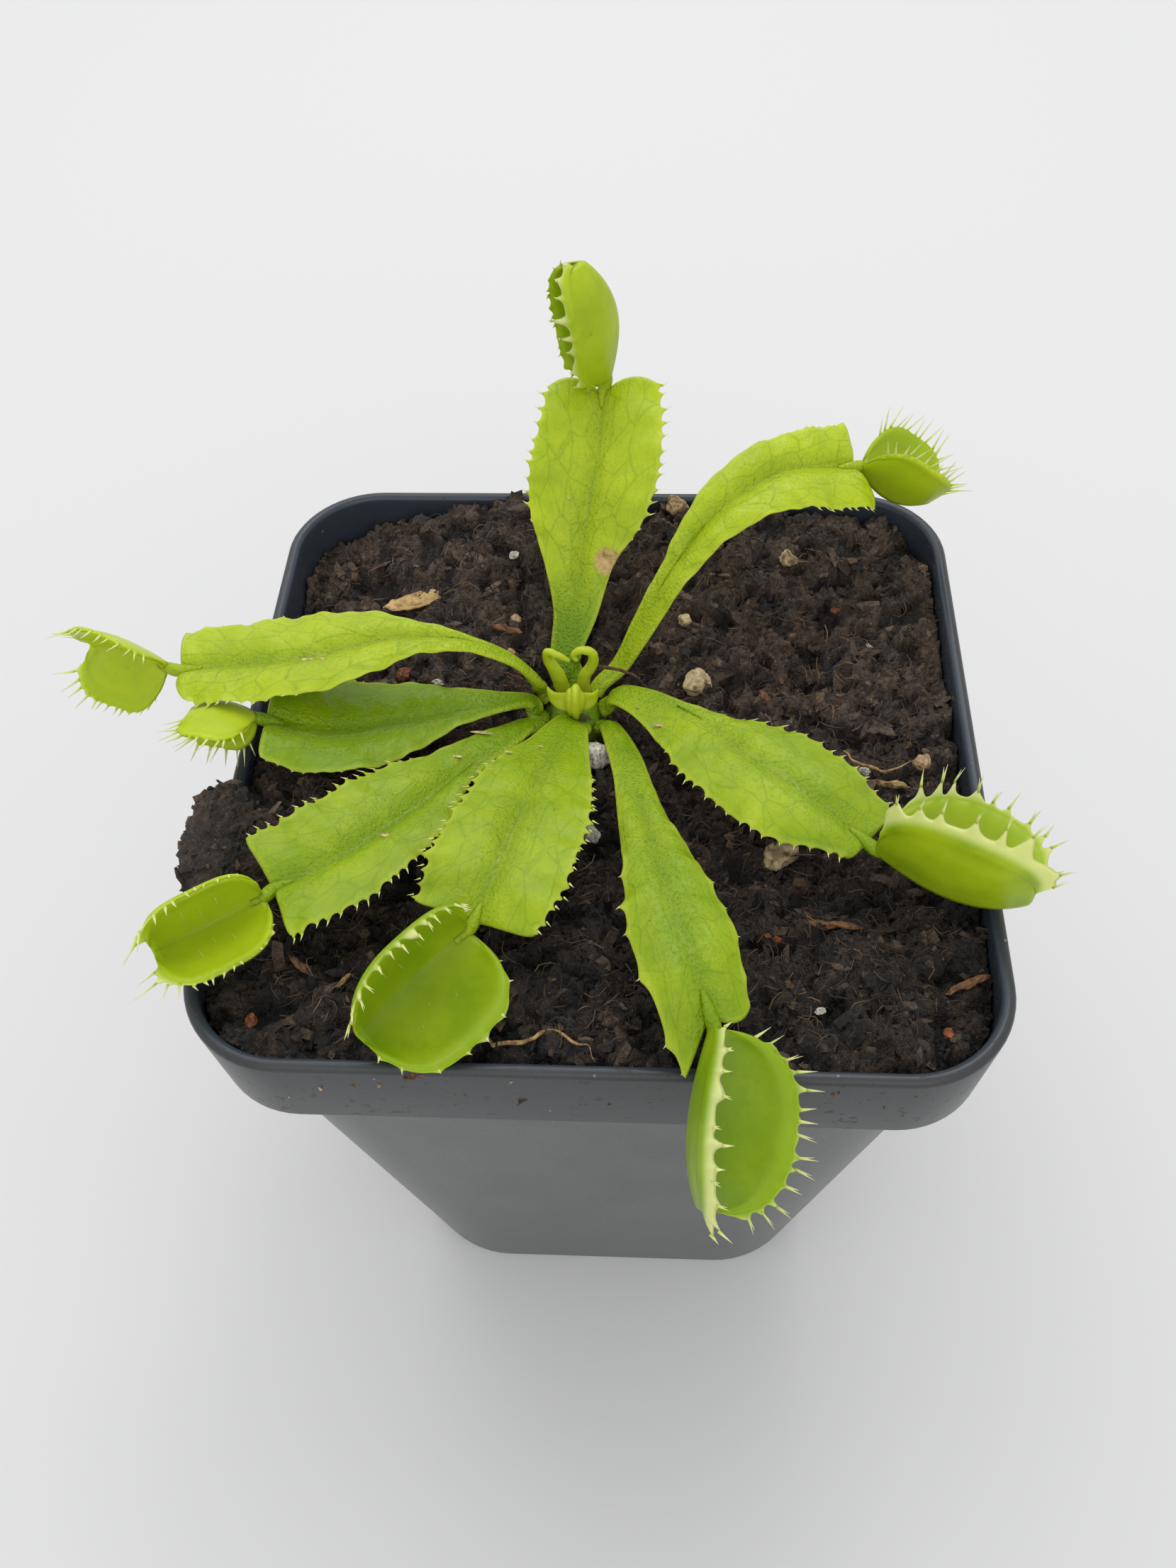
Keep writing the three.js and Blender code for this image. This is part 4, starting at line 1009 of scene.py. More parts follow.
def leaf_finish(settings):
    """Fleshy yellow-green leaf: a soft dark midrib, faint net veins, dark dots and a glossy, pebbled skin.
    Traps are smooth, with painted shade deepening their green along the hinge inside, and whitish on their
    fringe."""
    make = Finish("leaf", Specular_IOR_Level=0.24, Subsurface_Weight=0.5, Subsurface_Scale=1.3 * MM,
                  Subsurface_Radius=(0.8, 1.0, 0.15))
    names = ("across", "rib", "edge", "way", "trap", "inside", "fringe", "stalk")
    across, rib, edge, way, trap, inside, fringe, stalk = (make.attribute(name) for name in names)
    blade = 1 - trap
    sway = make.noise(4, 2)
    slant = make.combine(across + 1.2 * sway, 0.55 * (way - 0.8 * rib) + 0.8 * sway, 0.0)
    veins = make.net(2.5, 0.055, slant)
    small_veins = make.net(1.1, 0.08, slant)
    patches = make.noise(7, 4, roughness=0.6)
    mottle = make.noise(1.0, 4, roughness=0.7)
    midrib = rib.bell(settings.midrib_reach / MM)
    # The yellow attribute is each leaf's own tone, on traps partly painted light and shade
    yellow = 1.1 * (make.attribute("yellow") - 0.5) + patches
    body = make.mix(yellow.between(0.1, 1.1), settings.green_colour, settings.yellow_colour)
    body = make.mix(mottle.between(0.4, 0.8) * 0.3, body, settings.colour)
    body = make.mix(stalk, body, settings.green_colour)
    body = make.mix(stalk.between(0.6, 1.2) * 0.35, body, settings.vein_colour)
    body = make.mix((veins * 0.28 + small_veins * 0.14) * blade, body, settings.vein_colour)
    body = make.mix(midrib * (0.06 + 0.4 * sway) * blade, body, settings.vein_colour)
    body = make.mix((1 - edge.between(0.05, 0.8)) * 0.4 * blade, body, settings.margin_colour)
    # Painted shade: inside each trap the colour deepens along the hinge, by the habit's shade
    hollow = (1 - rib.between(0.5, 5.5)) * make.attribute("shade") + 0.4 * (patches - 0.5)
    throat = make.mix(hollow, body, settings.hinge_shade_colour)
    throat = make.mix((1 - edge.between(0.8, 1.6)) * 0.4, throat, settings.colour)
    body = make.mix(inside, body, throat)
    body = make.mix(fringe.between(0.1, 1.4) * 0.75, body, settings.tooth_colour)
    body = leaf_marks(make, settings, body, blade, rib, mottle)
    pebbles = make.spots(0.42, 0.05, 0.6)
    wrinkles = make.noise(0.9, 4, roughness=0.6)
    coarse = 0.8 * rib.bell(3.2) + 0.4 * stalk + 0.2
    relief = blade * coarse * (0.55 * pebbles + 0.5 * wrinkles) + 0.1 * veins * blade + 0.12 * mottle
    sheen = settings.roughness + 0.2 * mottle - 0.08 * coarse * blade
    return make.set(Base_Color=body, Roughness=sheen, Normal=make.bump(relief, settings.relief / MM, 1.0))


def tooth_finish(settings):
    """Teeth and bristles, green where they leave the margin and pale towards the tip."""
    make = Finish("leaf_teeth", Specular_IOR_Level=0.5, Subsurface_Weight=0.15, Subsurface_Scale=0.8 * MM,
                  Subsurface_Radius=(0.8, 1.0, 0.4))
    tip = make.attribute("tip")
    body = make.ramp(tip, (0.0, settings.margin_colour), (0.5, settings.tooth_colour),
                     (0.97, colour(206, 190, 130)))
    body = make.mix(make.noise(0.8, 3).between(0.4, 0.75) * 0.3, body, settings.colour)
    return make.set(Base_Color=body, Roughness=0.38 + 0.15 * make.noise(0.6, 2),
                    Normal=make.bump(make.noise(0.3, 2), 0.05, 0.5))


def young_finish(settings):
    """Pale young growth, speckled with white."""
    make = Finish("young_leaf", Specular_IOR_Level=0.45, Subsurface_Weight=0.2, Subsurface_Scale=1 * MM,
                  Subsurface_Radius=(0.7, 1.0, 0.3))
    patches = make.noise(1.6, 3)
    specks = make.spots(0.3, 0.12, 0.3)
    body = make.mix(patches * 0.6, settings.young_colour, settings.colour)
    body = make.mix(specks * make.noise(2.4, 2).between(0.4, 0.6) * 0.6, body, colour(224, 226, 150))
    return make.set(Base_Color=body, Roughness=0.42 + 0.15 * patches,
                    Normal=make.bump(specks * 0.6 + 0.4 * make.noise(0.5, 2), 0.1, 0.8))


def rhizome_finish(settings):
    """Fleshy bulb and roots, green with brown scale scars."""
    make = Finish("rhizome", Specular_IOR_Level=0.4)
    scars = make.noise(1.5, 4).between(0.5, 0.65)
    body = make.mix(make.noise(3, 3), settings.green_colour, settings.vein_colour)
    body = make.mix(scars * 0.8, body, colour(70, 54, 30))
    return make.set(Base_Color=body, Roughness=0.55 + 0.2 * scars, Normal=make.bump(scars, 0.1, 0.6))


# Pot

def rounded_foot(half, corner, radius, low):
    """Sections of a rounded lower edge, from its underside outwards and up."""
    rings = []
    for turn in np.linspace(0, math.pi / 2, 5):
        inset = radius * (1 - math.sin(turn))
        rings.append(square_ring(half - inset, corner - inset, low + radius * (1 - math.cos(turn))))
    return rings


def pot_form():
    """The pot's sections, from the middle of its foot up the outside, over the rim and down inside."""
    shelf = POT_HEIGHT - COLLAR_HEIGHT
    inner = RIM_HALF - 2 * RIM_ROLL
    inner_corner = RIM_CORNER - 2 * RIM_ROLL
    rings = rounded_foot(FOOT_HALF, FOOT_CORNER, FOOT_ROUND, 0)
    for share in np.linspace(0, 1, 9)[1:]:
        half = FOOT_HALF + (BODY_TOP_HALF - FOOT_HALF) * share
        corner = FOOT_CORNER + (RIM_CORNER - FOOT_CORNER) * share
        rings.append(square_ring(half, corner, FOOT_ROUND + (shelf - FOOT_ROUND) * share))
    rings += rounded_foot(COLLAR_FOOT_HALF, COLLAR_FOOT_CORNER, COLLAR_FOOT_ROUND, shelf)
    rolled = []
    for turn in np.linspace(0, math.pi, 13):
        inset = RIM_ROLL * (1 - math.cos(turn))
        z = POT_HEIGHT - RIM_ROLL + RIM_ROLL * math.sin(turn)
        rolled.append(square_ring(RIM_HALF - inset, RIM_CORNER - inset, z))
    inside = [
        square_ring(inner, inner_corner, POT_HEIGHT - 2 * RIM_ROLL),
        square_ring(inner, inner_corner, shelf + SHELF_FOOT + SHELF_RISE),
        square_ring(BODY_TOP_HALF - WALL, RIM_CORNER - WALL, shelf + SHELF_FOOT),
        square_ring(FOOT_HALF - WALL, FOOT_CORNER - WALL, FLOOR),
    ]
    rings += rolled + inside
    # From the middle of the rim's roll inwards the plastic is marked inner, where the finish paints shade
    inner_half_of_roll = len(rolled) // 2
    within = np.arange(len(rings)) >= len(rings) - len(inside) - inner_half_of_roll
    within = np.append(np.repeat(within, len(rings[0])), (False, True))
    return skin(rings, inner=within)


def round_tool(x, y, radius, low, high):
    """Upright cylinder to cut with."""
    turn = np.linspace(0, 2 * math.pi, CUTTER_SIDES, endpoint=False)
    rings = [[(x + radius * math.cos(a), y + radius * math.sin(a), z) for a in turn] for z in (low, high)]
    return skin(rings)


# Soil

def soil_height(x, y):
    """Height of the soil's surface above the table."""
    broad = np.sin(0.31 * x + 1.3) * np.cos(0.27 * y - 0.6)
    middle = np.sin(0.83 * x - 0.47 * y + 2.1) * np.cos(0.71 * y + 0.39 * x)
    z = SOIL_LEVEL + 0.7 * broad + 0.5 * middle
    for at_x, at_y, height, reach in MOUNDS:
        z = z + height * np.exp(-((x - at_x) ** 2 + (y - at_y) ** 2) / reach ** 2)
    dip = np.exp(-((x - CROWN[0]) ** 2 + (y - CROWN[1]) ** 2) / CROWN_DIP_REACH ** 2)
    return z * (1 - dip) + (SOIL_LEVEL - CROWN_DIP) * dip


def rounded_square(a, b, half, corner):
    """Points of a square of -1 to 1, drawn in to a square with round corners."""
    turn = np.arctan2(b, a)
    u = np.abs(np.stack([np.cos(turn), np.sin(turn)], -1))
    flat = half / u.max(-1)
    reach = half - corner
    inward = u.sum(-1) * reach
    bent = inward + np.sqrt(np.maximum(inward ** 2 - 2 * reach ** 2 + corner ** 2, 0))
    straight = flat * u.min(-1) <= reach
    scale = np.where(straight, flat, bent) / flat * half
    return a * scale, b * scale


def soil_top(settings, x, y):
    """Points of the soil's lumpy surface, and how far each lies in a hollow, from 0 to 1."""
    points = np.stack([x, y, soil_height(x, y)], -1)
    clods = grain(points, 6, 3, 1.0)
    lumps = np.abs(grain(points, 2.4, 3, 2.0))
    crumbs = np.abs(grain(points, 1.0, 2, 3.0))
    points[..., 2] += settings.roughness / MM * (0.75 * clods + 0.9 * lumps + 0.8 * crumbs - 0.5)
    hollow = smoothstep(grain(points, 3.4, 3, 5.0), 0.08, 0.34)
    points[..., 2] -= settings.hollow_depth / MM * hollow
    return points.reshape(-1, 3), hollow


def soil_form(settings):
    """Lumpy top surface, a skirt down the pot's inner wall and a flat underside."""
    n = settings.fineness
    shelf = POT_HEIGHT - COLLAR_HEIGHT + SHELF_FOOT + SEAT
    half = RIM_HALF - 2 * RIM_ROLL - SEAT
    corner = RIM_CORNER - 2 * RIM_ROLL
    a, b = np.meshgrid(np.linspace(-1, 1, n), np.linspace(-1, 1, n))
    top, hollow = soil_top(settings, *rounded_square(a, b, half, corner))
    faces = grid_faces(n, n)
    index = np.arange(n * n).reshape(n, n)
    rim = np.concatenate([index[0, :-1], index[:-1, -1], index[-1, :0:-1], index[:0:-1, 0]])
    rings = [top]
    below = [(shelf + SHELF_RISE, half, corner), (shelf, BODY_TOP_HALF - WALL - SEAT, RIM_CORNER - WALL),
             (FLOOR + SEAT, FOOT_HALF - WALL - SEAT, FOOT_CORNER - WALL)]
    upper = rim
    count = n * n
    for z_low, ring_half, ring_corner in below:
        at = rounded_square(a.ravel()[rim], b.ravel()[rim], ring_half, ring_corner)
        rings.append(np.column_stack([*at, np.full(len(rim), z_low)]))
        lower = np.arange(count, count + len(rim))
        for k in range(len(rim)):
            after = (k + 1) % len(rim)
            faces.append((upper[after], upper[k], lower[k], lower[after]))
        upper = lower
        count += len(rim)
    rings.append(rings[-1].mean(0)[None])
    for k in range(len(rim)):
        faces.append((count, upper[(k + 1) % len(rim)], upper[k]))
    return Form(np.vstack(rings), faces, hollow=np.append(hollow, np.zeros(count + 1 - n * n)))


def spill_form(settings):
    """Clod that has spilled over the rim on the left, flat where it lies on the rim."""
    sides, levels = 72, 20
    turn = np.linspace(0, 2 * math.pi, sides, endpoint=False)
    rings = []
    for lift in np.linspace(0, 0.97, levels):
        spread = math.sqrt(1 - lift * lift)
        x = SPILL_AT[0] + SPILL_REACH[0] * spread * np.cos(turn)
        y = SPILL_AT[1] + SPILL_REACH[1] * spread * np.sin(turn)
        ring = np.column_stack([x, y, np.full(sides, SPILL_AT[2] + SPILL_REACH[2] * lift)])
        bumps = settings.roughness / MM * (0.8 * np.abs(grain(ring, 2.2, 3, 4.0)) - 0.3)
        outward = unit(ring - SPILL_AT)
        shift = outward * bumps[:, None]
        shift[:, 2] *= min(1, 3 * lift)
        rings.append(ring + shift)
    return skin(rings)


def chip_form(start, end, width, seed):
    """Flat weathered splinter lying on the soil."""
    middle = (np.array(start) + np.array(end)) / 2
    angle = math.atan2(end[1] - start[1], end[0] - start[0])
    radii = (math.dist(start, end) / 2, width / 2, 0.45)
    form = pebble((0, 0, 0), radii, seed=0.0, roughness=0.3, fineness=4)
    form.points += 0.25 * grain(form.points + seed, 1.2, 3)[:, None] * (1, 1, 0.6)
    form.points = form.points @ spin(angle).T + (*middle, float(soil_height(*middle)) + 0.7)
    return form


def curly(form, reach):
    """The form with its points pushed about smoothly."""
    push = np.column_stack([grain(form.points, 3, 2, seed) for seed in (1.0, 2.0, 3.0)])
    form.points += push * (reach, reach, 0.4 * reach)
    return form


def strand_form(route, radius):
    """Curly dead strand over the soil, by its route as x, y and lift."""
    points = [(x, y, float(soil_height(x, y)) + lift) for x, y, lift in route]
    return curly(tube(points, (0.4 * radius, radius, 1.2 * radius, radius, 0.3 * radius), 8, 80), 0.8)


def leaf_bits_form():
    """Dry bits lying on the leaves."""
    leaves = {leaf.name: leaf for leaf in LEAVES}
    rows, columns = 101, 41
    bits = []
    for k, (name, share, across, length) in enumerate(LEAF_BITS):
        blade = blade_surface(leaves[name], rows, columns)
        row = round(share * (rows - 1))
        column = int(np.argmin(np.abs(blade.u - across)))
        at = blade.middle[row, column] + blade.up[row] * 0.5
        radii = (length / 2, 0.13 + 0.04 * length, 0.12)
        bits.append(pebble(at, radii, seed=1.3 * k, roughness=0.6, fineness=3))
    return together(bits)


def collar_bits_form(kind):
    """Crumbs or flecks of dust stuck to the front of the collar."""
    bits = []
    for k, (x, z, radius, bit_kind) in enumerate(COLLAR_BITS):
        if bit_kind == kind:
            share = (z - POT_HEIGHT + COLLAR_HEIGHT) / COLLAR_HEIGHT
            y = -COLLAR_FOOT_HALF - (RIM_HALF - COLLAR_FOOT_HALF) * share
            radii = (radius, 0.5 * radius, 0.8 * radius)
            bits.append(pebble((x, y, z), radii, seed=1.0 + k, roughness=0.4, fineness=3))
    return together(bits)


# Leaves

def leaf_spine(leaf):
    """Points that the leaf's middle line runs through, from the crown outwards."""
    azimuth, elevation = np.radians(leaf.root)
    level = math.cos(elevation)
    out = np.array((math.cos(azimuth) * level, math.sin(azimuth) * level, math.sin(elevation)))
    foot = CROWN + out * (KNOB_RADIUS + STALK_SEAT)
    return [foot, foot + out * ROOT_STRAIGHT, *leaf.spine]


def cusps(travel, spacing, seed, uneven):
    """Margin of pointed teeth with round bays between them: 0 in a bay, up to 1 at a tip."""
    turn = travel / spacing
    turn = turn + uneven * (0.25 * np.sin(2.1 * turn + seed) + 0.12 * np.sin(5.3 * turn + 2 * seed))
    chance = np.abs(np.sin(12.9898 * np.round(turn) + seed) * 437.585) % 1
    tufts = 1 - 0.35 * uneven * (1 + np.sin(0.9 * turn + 2 * seed))
    return (1 - uneven * chance) * tufts * (1 - np.abs(np.sin(math.pi * turn))) ** 1.5


Blade = namedtuple("Blade", "t u half distance middle teeth right ahead up")


def margin_teeth(leaf, t, margins, seed):
    """Heights of the teeth along a blade's left and right margins."""
    habit = HABITS[leaf.name]
    onset = smoothstep(t, leaf.teeth - 0.04, leaf.teeth + 0.12) * (1 - smoothstep(t, 0.985, 1))
    return np.stack([reach * onset * cusps(travelled(margin), habit.spacing, seed + reach, 0.45)
                     for reach, margin in zip(habit.teeth, margins)])


def end_reach(leaf, t, u):
    """How far the end of a blade reaches forward: its shoulders, its corners, and its rounded edge."""
    size = np.abs(u)
    reach = (leaf.shoulder * smoothstep(t, 0.8, 1))[:, None] * np.sin(math.pi * size)
    reach = reach + smoothstep(t, 0.78, 1)[:, None] * np.where(u < 0, *HABITS[leaf.name].corners) * size ** 2
    return reach - (0.5 * smoothstep(t, 0.95, 1))[:, None] * size ** 8


def blade_relief(t, u, half, distance, seed):
    """Heights of a blade's waves, swellings and crimps, with a groove along its midrib."""
    size, side = np.abs(u), np.sign(u)
    wave = np.sin(distance * 0.85 + side * 1.7 + seed) + 0.6 * np.sin(distance * 1.9 + 2.3 * side + 2 * seed)
    swell = np.sin(math.pi * size) * (0.3 + 0.16 * np.sin(0.55 * distance + 2 * side + seed))
    crimp = 0.07 * np.sin(1.7 * distance - 1.1 * size * half + seed) * np.sin(math.pi * size)
    groove = 0.75 * np.exp(-(u * half / 1.2) ** 2)
    return smoothstep(t, 0.2, 0.5)[:, None] * (0.24 * size ** 3 * wave + swell + crimp - groove)


def blade_surface(leaf, rows, columns):
    """Middle surface of a blade at shares t of its length and u across, -1 to 1, with its half widths,
    the distance from its foot, the heights of its margins' teeth and its directions."""
    path = smooth_path(leaf_spine(leaf), rows)
    t = np.linspace(0, 1, rows)
    ahead = unit(np.gradient(path, axis=0))
    up = unit(np.array((0, 0, 1)) - ahead * ahead[:, 2:])
    roll = np.radians(leaf.roll[0] + (leaf.roll[1] - leaf.roll[0]) * t)[:, None]
    up = up * np.cos(roll) + np.cross(ahead, up) * np.sin(roll)
    right = np.cross(ahead, up)
    u = np.sin(np.linspace(-1, 1, columns) * math.pi / 2)
    size, side = np.abs(u), np.sign(u)
    half = np.where(u < 0, along(leaf.left, t)[:, None], along(leaf.right, t)[:, None])
    lift = np.radians(leaf.fold * np.minimum(1, 2 * t))[:, None]
    distance = travelled(path)[:, None] + 0 * u
    seed = float(np.sum(path[-1]) % 7)
    margins = [path + right * edge[:, None] for edge in (-half[:, 0], half[:, -1])]
    teeth = margin_teeth(leaf, t, margins, seed)
    tooth = np.where(u < 0, teeth[0][:, None], teeth[1][:, None])
    tooth = tooth * np.clip((size - 0.84) / 0.16, 0, 1) ** 1.3
    reach = end_reach(leaf, t, u) + TOOTH_LEAN * tooth
    rise = blade_relief(t, u, half, distance, seed)
    middle = path[:, None] + right[:, None] * (side * (size * half * np.cos(lift) + tooth))[..., None]
    middle = middle + up[:, None] * (size * half * np.sin(lift) + rise)[..., None]
    middle = middle + ahead[:, None] * reach[..., None]
    return Blade(t, u, half, distance, middle, teeth, right, ahead, up)


def blade_form(leaf):
    """Blade and stalk, with the values that the leaf's finish reads."""
    t, u, half, distance, middle = blade_surface(leaf, BLADE_ROWS, BLADE_COLUMNS)[:5]
    stalk = np.maximum(0, 1 - 3 * t)[:, None]
    centre = MIDRIB_THICKNESS + (STALK_THICKNESS - MIDRIB_THICKNESS) * stalk
    margin = MARGIN_THICKNESS + (STALK_THICKNESS / 2 - MARGIN_THICKNESS) * stalk
    thickness = centre + (margin - centre) * np.abs(u)
    round_off = np.sqrt(np.maximum(1 - np.abs(u) ** 6, 0))
    end = np.sqrt(np.maximum(1 - smoothstep(t, 0.985, 1), 0))[:, None]
    thickness = thickness * round_off * end
    across = u * half
    left = (1 - t)[:, None] * distance[-1, 0]
    edge = np.minimum((1 - np.abs(u)) * half, left)
    share = t[:, None] + 0 * across
    return sheet(middle, thickness / 2, across=across, rib=np.abs(across), edge=edge, way=distance,
                 share=share, trap=0, inside=0, fringe=0)


def of_side(pair, hand):
    """The left one of a pair for hand -1, and the right one for hand 1."""
    return pair[0] if hand < 0 else pair[1]


def trap_directions(trap):
    """Base of a trap's hinge, its direction and length, and the directions it opens and spreads in."""
    base = np.array(trap.base, float)
    axis = np.array(trap.tip, float) - base
    length = np.linalg.norm(axis)
    axis = axis / length
    opening = np.array(trap.open, float)
    opening = unit(opening - axis * (opening @ axis))
    return base, axis, length, opening, np.cross(axis, opening)


def lobe_reach(leaf, hand, s):
    """Width of a lobe along its hinge: it widens at once and stays broad."""
    habit = HABITS[leaf.name]
    least = 0.06 * (habit.square - 1)
    swell = least + (1 - least) * np.sqrt(np.maximum(1 - np.abs(2 * s - 1) ** habit.square, 0))
    return leaf.trap.depth * of_side(habit.lobes, hand) * swell


def lobe_leans(leaf, hand):
    """Angles in radians at which a lobe leans at the hinge and at its rim."""
    start, end = np.radians(of_side((leaf.trap.left, leaf.trap.right), hand))
    keep = HABITS[leaf.name].crease
    middle = (start + end) / 2
    return middle + (start - middle) * keep, middle + (end - middle) * keep


def lobe_surface(leaf, hand, s, c):
    """Points of a lobe's middle surface, at shares s along the hinge and c from hinge to rim."""
    base, axis, length, opening, side = trap_directions(leaf.trap)
    start, end = lobe_leans(leaf, hand)
    hinge = base + axis * (length * s)[..., None]
    bow = leaf.trap.bow * np.sin(math.pi * s) - 0.16 * leaf.trap.depth * s ** 7
    hinge = hinge - opening * bow[..., None]
    reach = lobe_reach(leaf, hand, s)
    swing = end - start
    forward = reach * (np.sin(start + swing * c) - np.sin(start)) / swing
    sideways = reach * (np.cos(start) - np.cos(start + swing * c)) / swing
    sideways = sideways + 0.45 * smoothstep(c, 0.84, 1) ** 2
    return hinge + opening * forward[..., None] + side * (hand * sideways)[..., None]


def fringe_height(leaf, hand, s, rim):
    """Height of a lobe's web and teeth beyond its rim."""
    fringe = of_side(FRINGES[leaf.name], hand)
    teeth = cusps(travelled(rim), fringe.spacing, hand + leaf.trap.depth, 0.72)
    taper = smoothstep(s, 0, 0.08) * (1 - smoothstep(s, 0.992, 1))
    web = fringe.web * (1 + (fringe.swell - 1) * s * s)
    return (web + fringe.tooth * teeth) * (1 + (fringe.swell - 1) / 2 * s ** 3) * taper


def fringe_way(leaf, hand, s, turn):
    """Direction of a fringe that has curled inwards by the turn, fanned out towards both ends."""
    _, axis, _, opening, side = trap_directions(leaf.trap)
    lean = lobe_leans(leaf, hand)[1] - turn
    fan = np.asarray(1.4 * (2 * s - 1) ** 5)[..., None]
    return unit(opening * np.cos(lean)[..., None] + side * hand * np.sin(lean)[..., None] + axis * fan)


def trap_surface(leaf, s, columns):
    """Middle surface of a trap from fringe to fringe, with the share across and the height beyond
    the rim at every point."""
    lobes = []
    for hand in (-1, 1):
        c = np.linspace(0, 1, columns)
        s_grid, c_grid = np.meshgrid(s, c, indexing="ij")
        lobe = lobe_surface(leaf, hand, s_grid, c_grid)
        rim = lobe[:, -1]
        height = fringe_height(leaf, hand, s, rim)
        curl = math.radians(of_side(FRINGES[leaf.name], hand).curl)
        strip, beyond = [lobe], [0 * c_grid]
        point = rim
        for q in range(FRINGE_COLUMNS):
            turn = np.full(len(s), curl * (q + 0.5) / FRINGE_COLUMNS)
            point = point + fringe_way(leaf, hand, s, turn) * (height / FRINGE_COLUMNS)[:, None]
            strip.append(point[:, None])
            beyond.append((height * (q + 1) / FRINGE_COLUMNS)[:, None])
        share = np.concatenate([c_grid, np.ones((len(s), FRINGE_COLUMNS))], 1)
        lobes.append((np.concatenate(strip, 1), share, np.concatenate(beyond, 1)))
    (left, left_share, left_beyond), (right, right_share, right_beyond) = lobes
    middle = np.concatenate([left[:, :0:-1], right], 1)
    share = np.concatenate([-left_share[:, :0:-1], right_share], 1)
    return middle, share, np.concatenate([left_beyond[:, :0:-1], right_beyond], 1)


def hinge_shares(rows):
    """Shares of the way along a hinge, closer together at both ends."""
    return (1 - np.cos(np.linspace(0, math.pi, rows))) / 2


def trap_form(leaf):
    """Both lobes with their fringes, with the values that the leaf's finish reads."""
    s = hinge_shares(TRAP_ROWS)
    middle, share, beyond = trap_surface(leaf, s, LOBE_COLUMNS)
    reach = np.where(share < 0, *(lobe_reach(leaf, hand, s)[:, None] for hand in (-1, 1)))
    across = share * reach
    thickness = TRAP_THICKNESS * 0.85 + 0.5 * np.exp(-(across / 1.1) ** 2)
    rim = np.linspace(1, 0, FRINGE_COLUMNS + 1)[1:]
    thin = np.r_[rim[::-1], np.ones(2 * LOBE_COLUMNS - 1), rim]
    thickness = thickness * (0.55 * np.sqrt(thin) + 0.45 * (thin == 1)) * (thin > 0)
    thickness = thickness * np.sqrt(np.clip(np.minimum(s, 1 - s) / 0.03, 0, 1))[:, None]
    edge = (1 - np.abs(share)) * reach
    length = np.linalg.norm(np.array(leaf.trap.tip) - np.array(leaf.trap.base))
    way = s[:, None] * length + 0 * share
    return sheet(middle, thickness / 2, across=across, rib=np.abs(across), edge=edge, way=way,
                 share=1, trap=1, inside=(1, 0), fringe=beyond)


def leaf_form(leaf):
    """Blade, neck and trap grown together."""
    path = smooth_path(leaf_spine(leaf), BLADE_ROWS)
    base = np.array(leaf.trap.base, float)
    tip = np.array(leaf.trap.tip, float)
    sunk = np.array((0, 0, -0.25))
    stretch = [path[NECK_ROW] + sunk, path[-1] + sunk, base, base + (tip - base) * 0.12]
    neck = tube(stretch, (0.3, 0.7, 0.8, 0.5), 16, 24, edge=1, way=1, share=0.9, trap=0, inside=0,
                across=0.4, rib=0.4)
    form = blade_form(leaf) + neck + trap_form(leaf)
    habit = HABITS[leaf.name]
    is_trap = form.attributes["trap"]
    # A trap's yellowness is partly its own tone and partly painted light and shade on its lobes
    form.attributes["yellow"] = habit.yellow + (habit.trap_yellow - habit.yellow) * is_trap
    form.attributes["shade"] = habit.shade * is_trap
    root = 1 - smoothstep(form.attributes["share"], 0.12, 0.5)
    form.attributes["stalk"] = habit.stalk * root * (1 - is_trap)
    return form


def peaks(values):
    """Indices where the values are highest between lower neighbours."""
    inner = values[1:-1]
    return np.flatnonzero((inner > values[:-2]) & (inner >= values[2:]) & (inner > 0.15)) + 1


def margin_hairs(leaf, draw):
    """Places of the fine points on the teeth of the blade's margins."""
    blade = blade_surface(leaf, MARGIN_SEARCH_ROWS, 33)
    spots = []
    for column, hand, heights in ((0, -1, blade.teeth[0]), (-1, 1, blade.teeth[1])):
        for row in peaks(heights):
            lean = TOOTH_LEAN + draw.uniform(0, 0.4)
            outward = unit(blade.right[row] * hand + blade.ahead[row] * lean)
            root = blade.middle[row, column] - outward * 0.35
            size = 0.4 + 0.75 * heights[row] * draw.uniform(0.6, 1.1)
            spots.append((root, outward, blade.up[row], size, draw.uniform(0.4, 0.6), 0))
    return spots


def trap_hairs(leaf, settings, draw):
    """Places of the hairs on the teeth of both rims, and of the trigger hairs inside."""
    _, axis, _, opening, _ = trap_directions(leaf.trap)
    s = hinge_shares(RIM_SEARCH_ROWS)
    middle, _, beyond = trap_surface(leaf, s, 4)
    spots = []
    for column, hand in ((0, -1), (-1, 1)):
        fringe = of_side(FRINGES[leaf.name], hand)
        height = beyond[:, column]
        for row in peaks(height):
            turn = np.array(math.radians(fringe.curl))
            way = fringe_way(leaf, hand, s[row], turn)
            aside = unit(np.cross(axis, way))
            way = unit(way + axis * draw.uniform(-0.3, 0.3) + aside * draw.uniform(-0.22, 0.22))
            size = (fringe.hair + 0.5) * draw.uniform(0.75, 1.15) * (1 + (fringe.swell - 1) * s[row] ** 3)
            root = middle[row, column] - way * 0.5
            fork = 1 if draw.uniform() < settings.forked and fringe.tooth > 1 else 0
            spots.append((root, way, unit(np.cross(axis, way)), size, draw.uniform(0.6, 0.95), fork))
    for hand in (-1, 1):
        for at, share in ((0.36, 0.5), (0.52, 0.36), (0.66, 0.52)):
            foot, beside = (lobe_surface(leaf, hand, np.array(at), np.array(share + k)) for k in (0, 0.02))
            normal = unit(np.cross(axis, beside - foot))
            normal = normal if normal @ opening > 0 else -normal
            spots.append((foot, normal, axis, 1.4, 0.3, 0))
    return spots


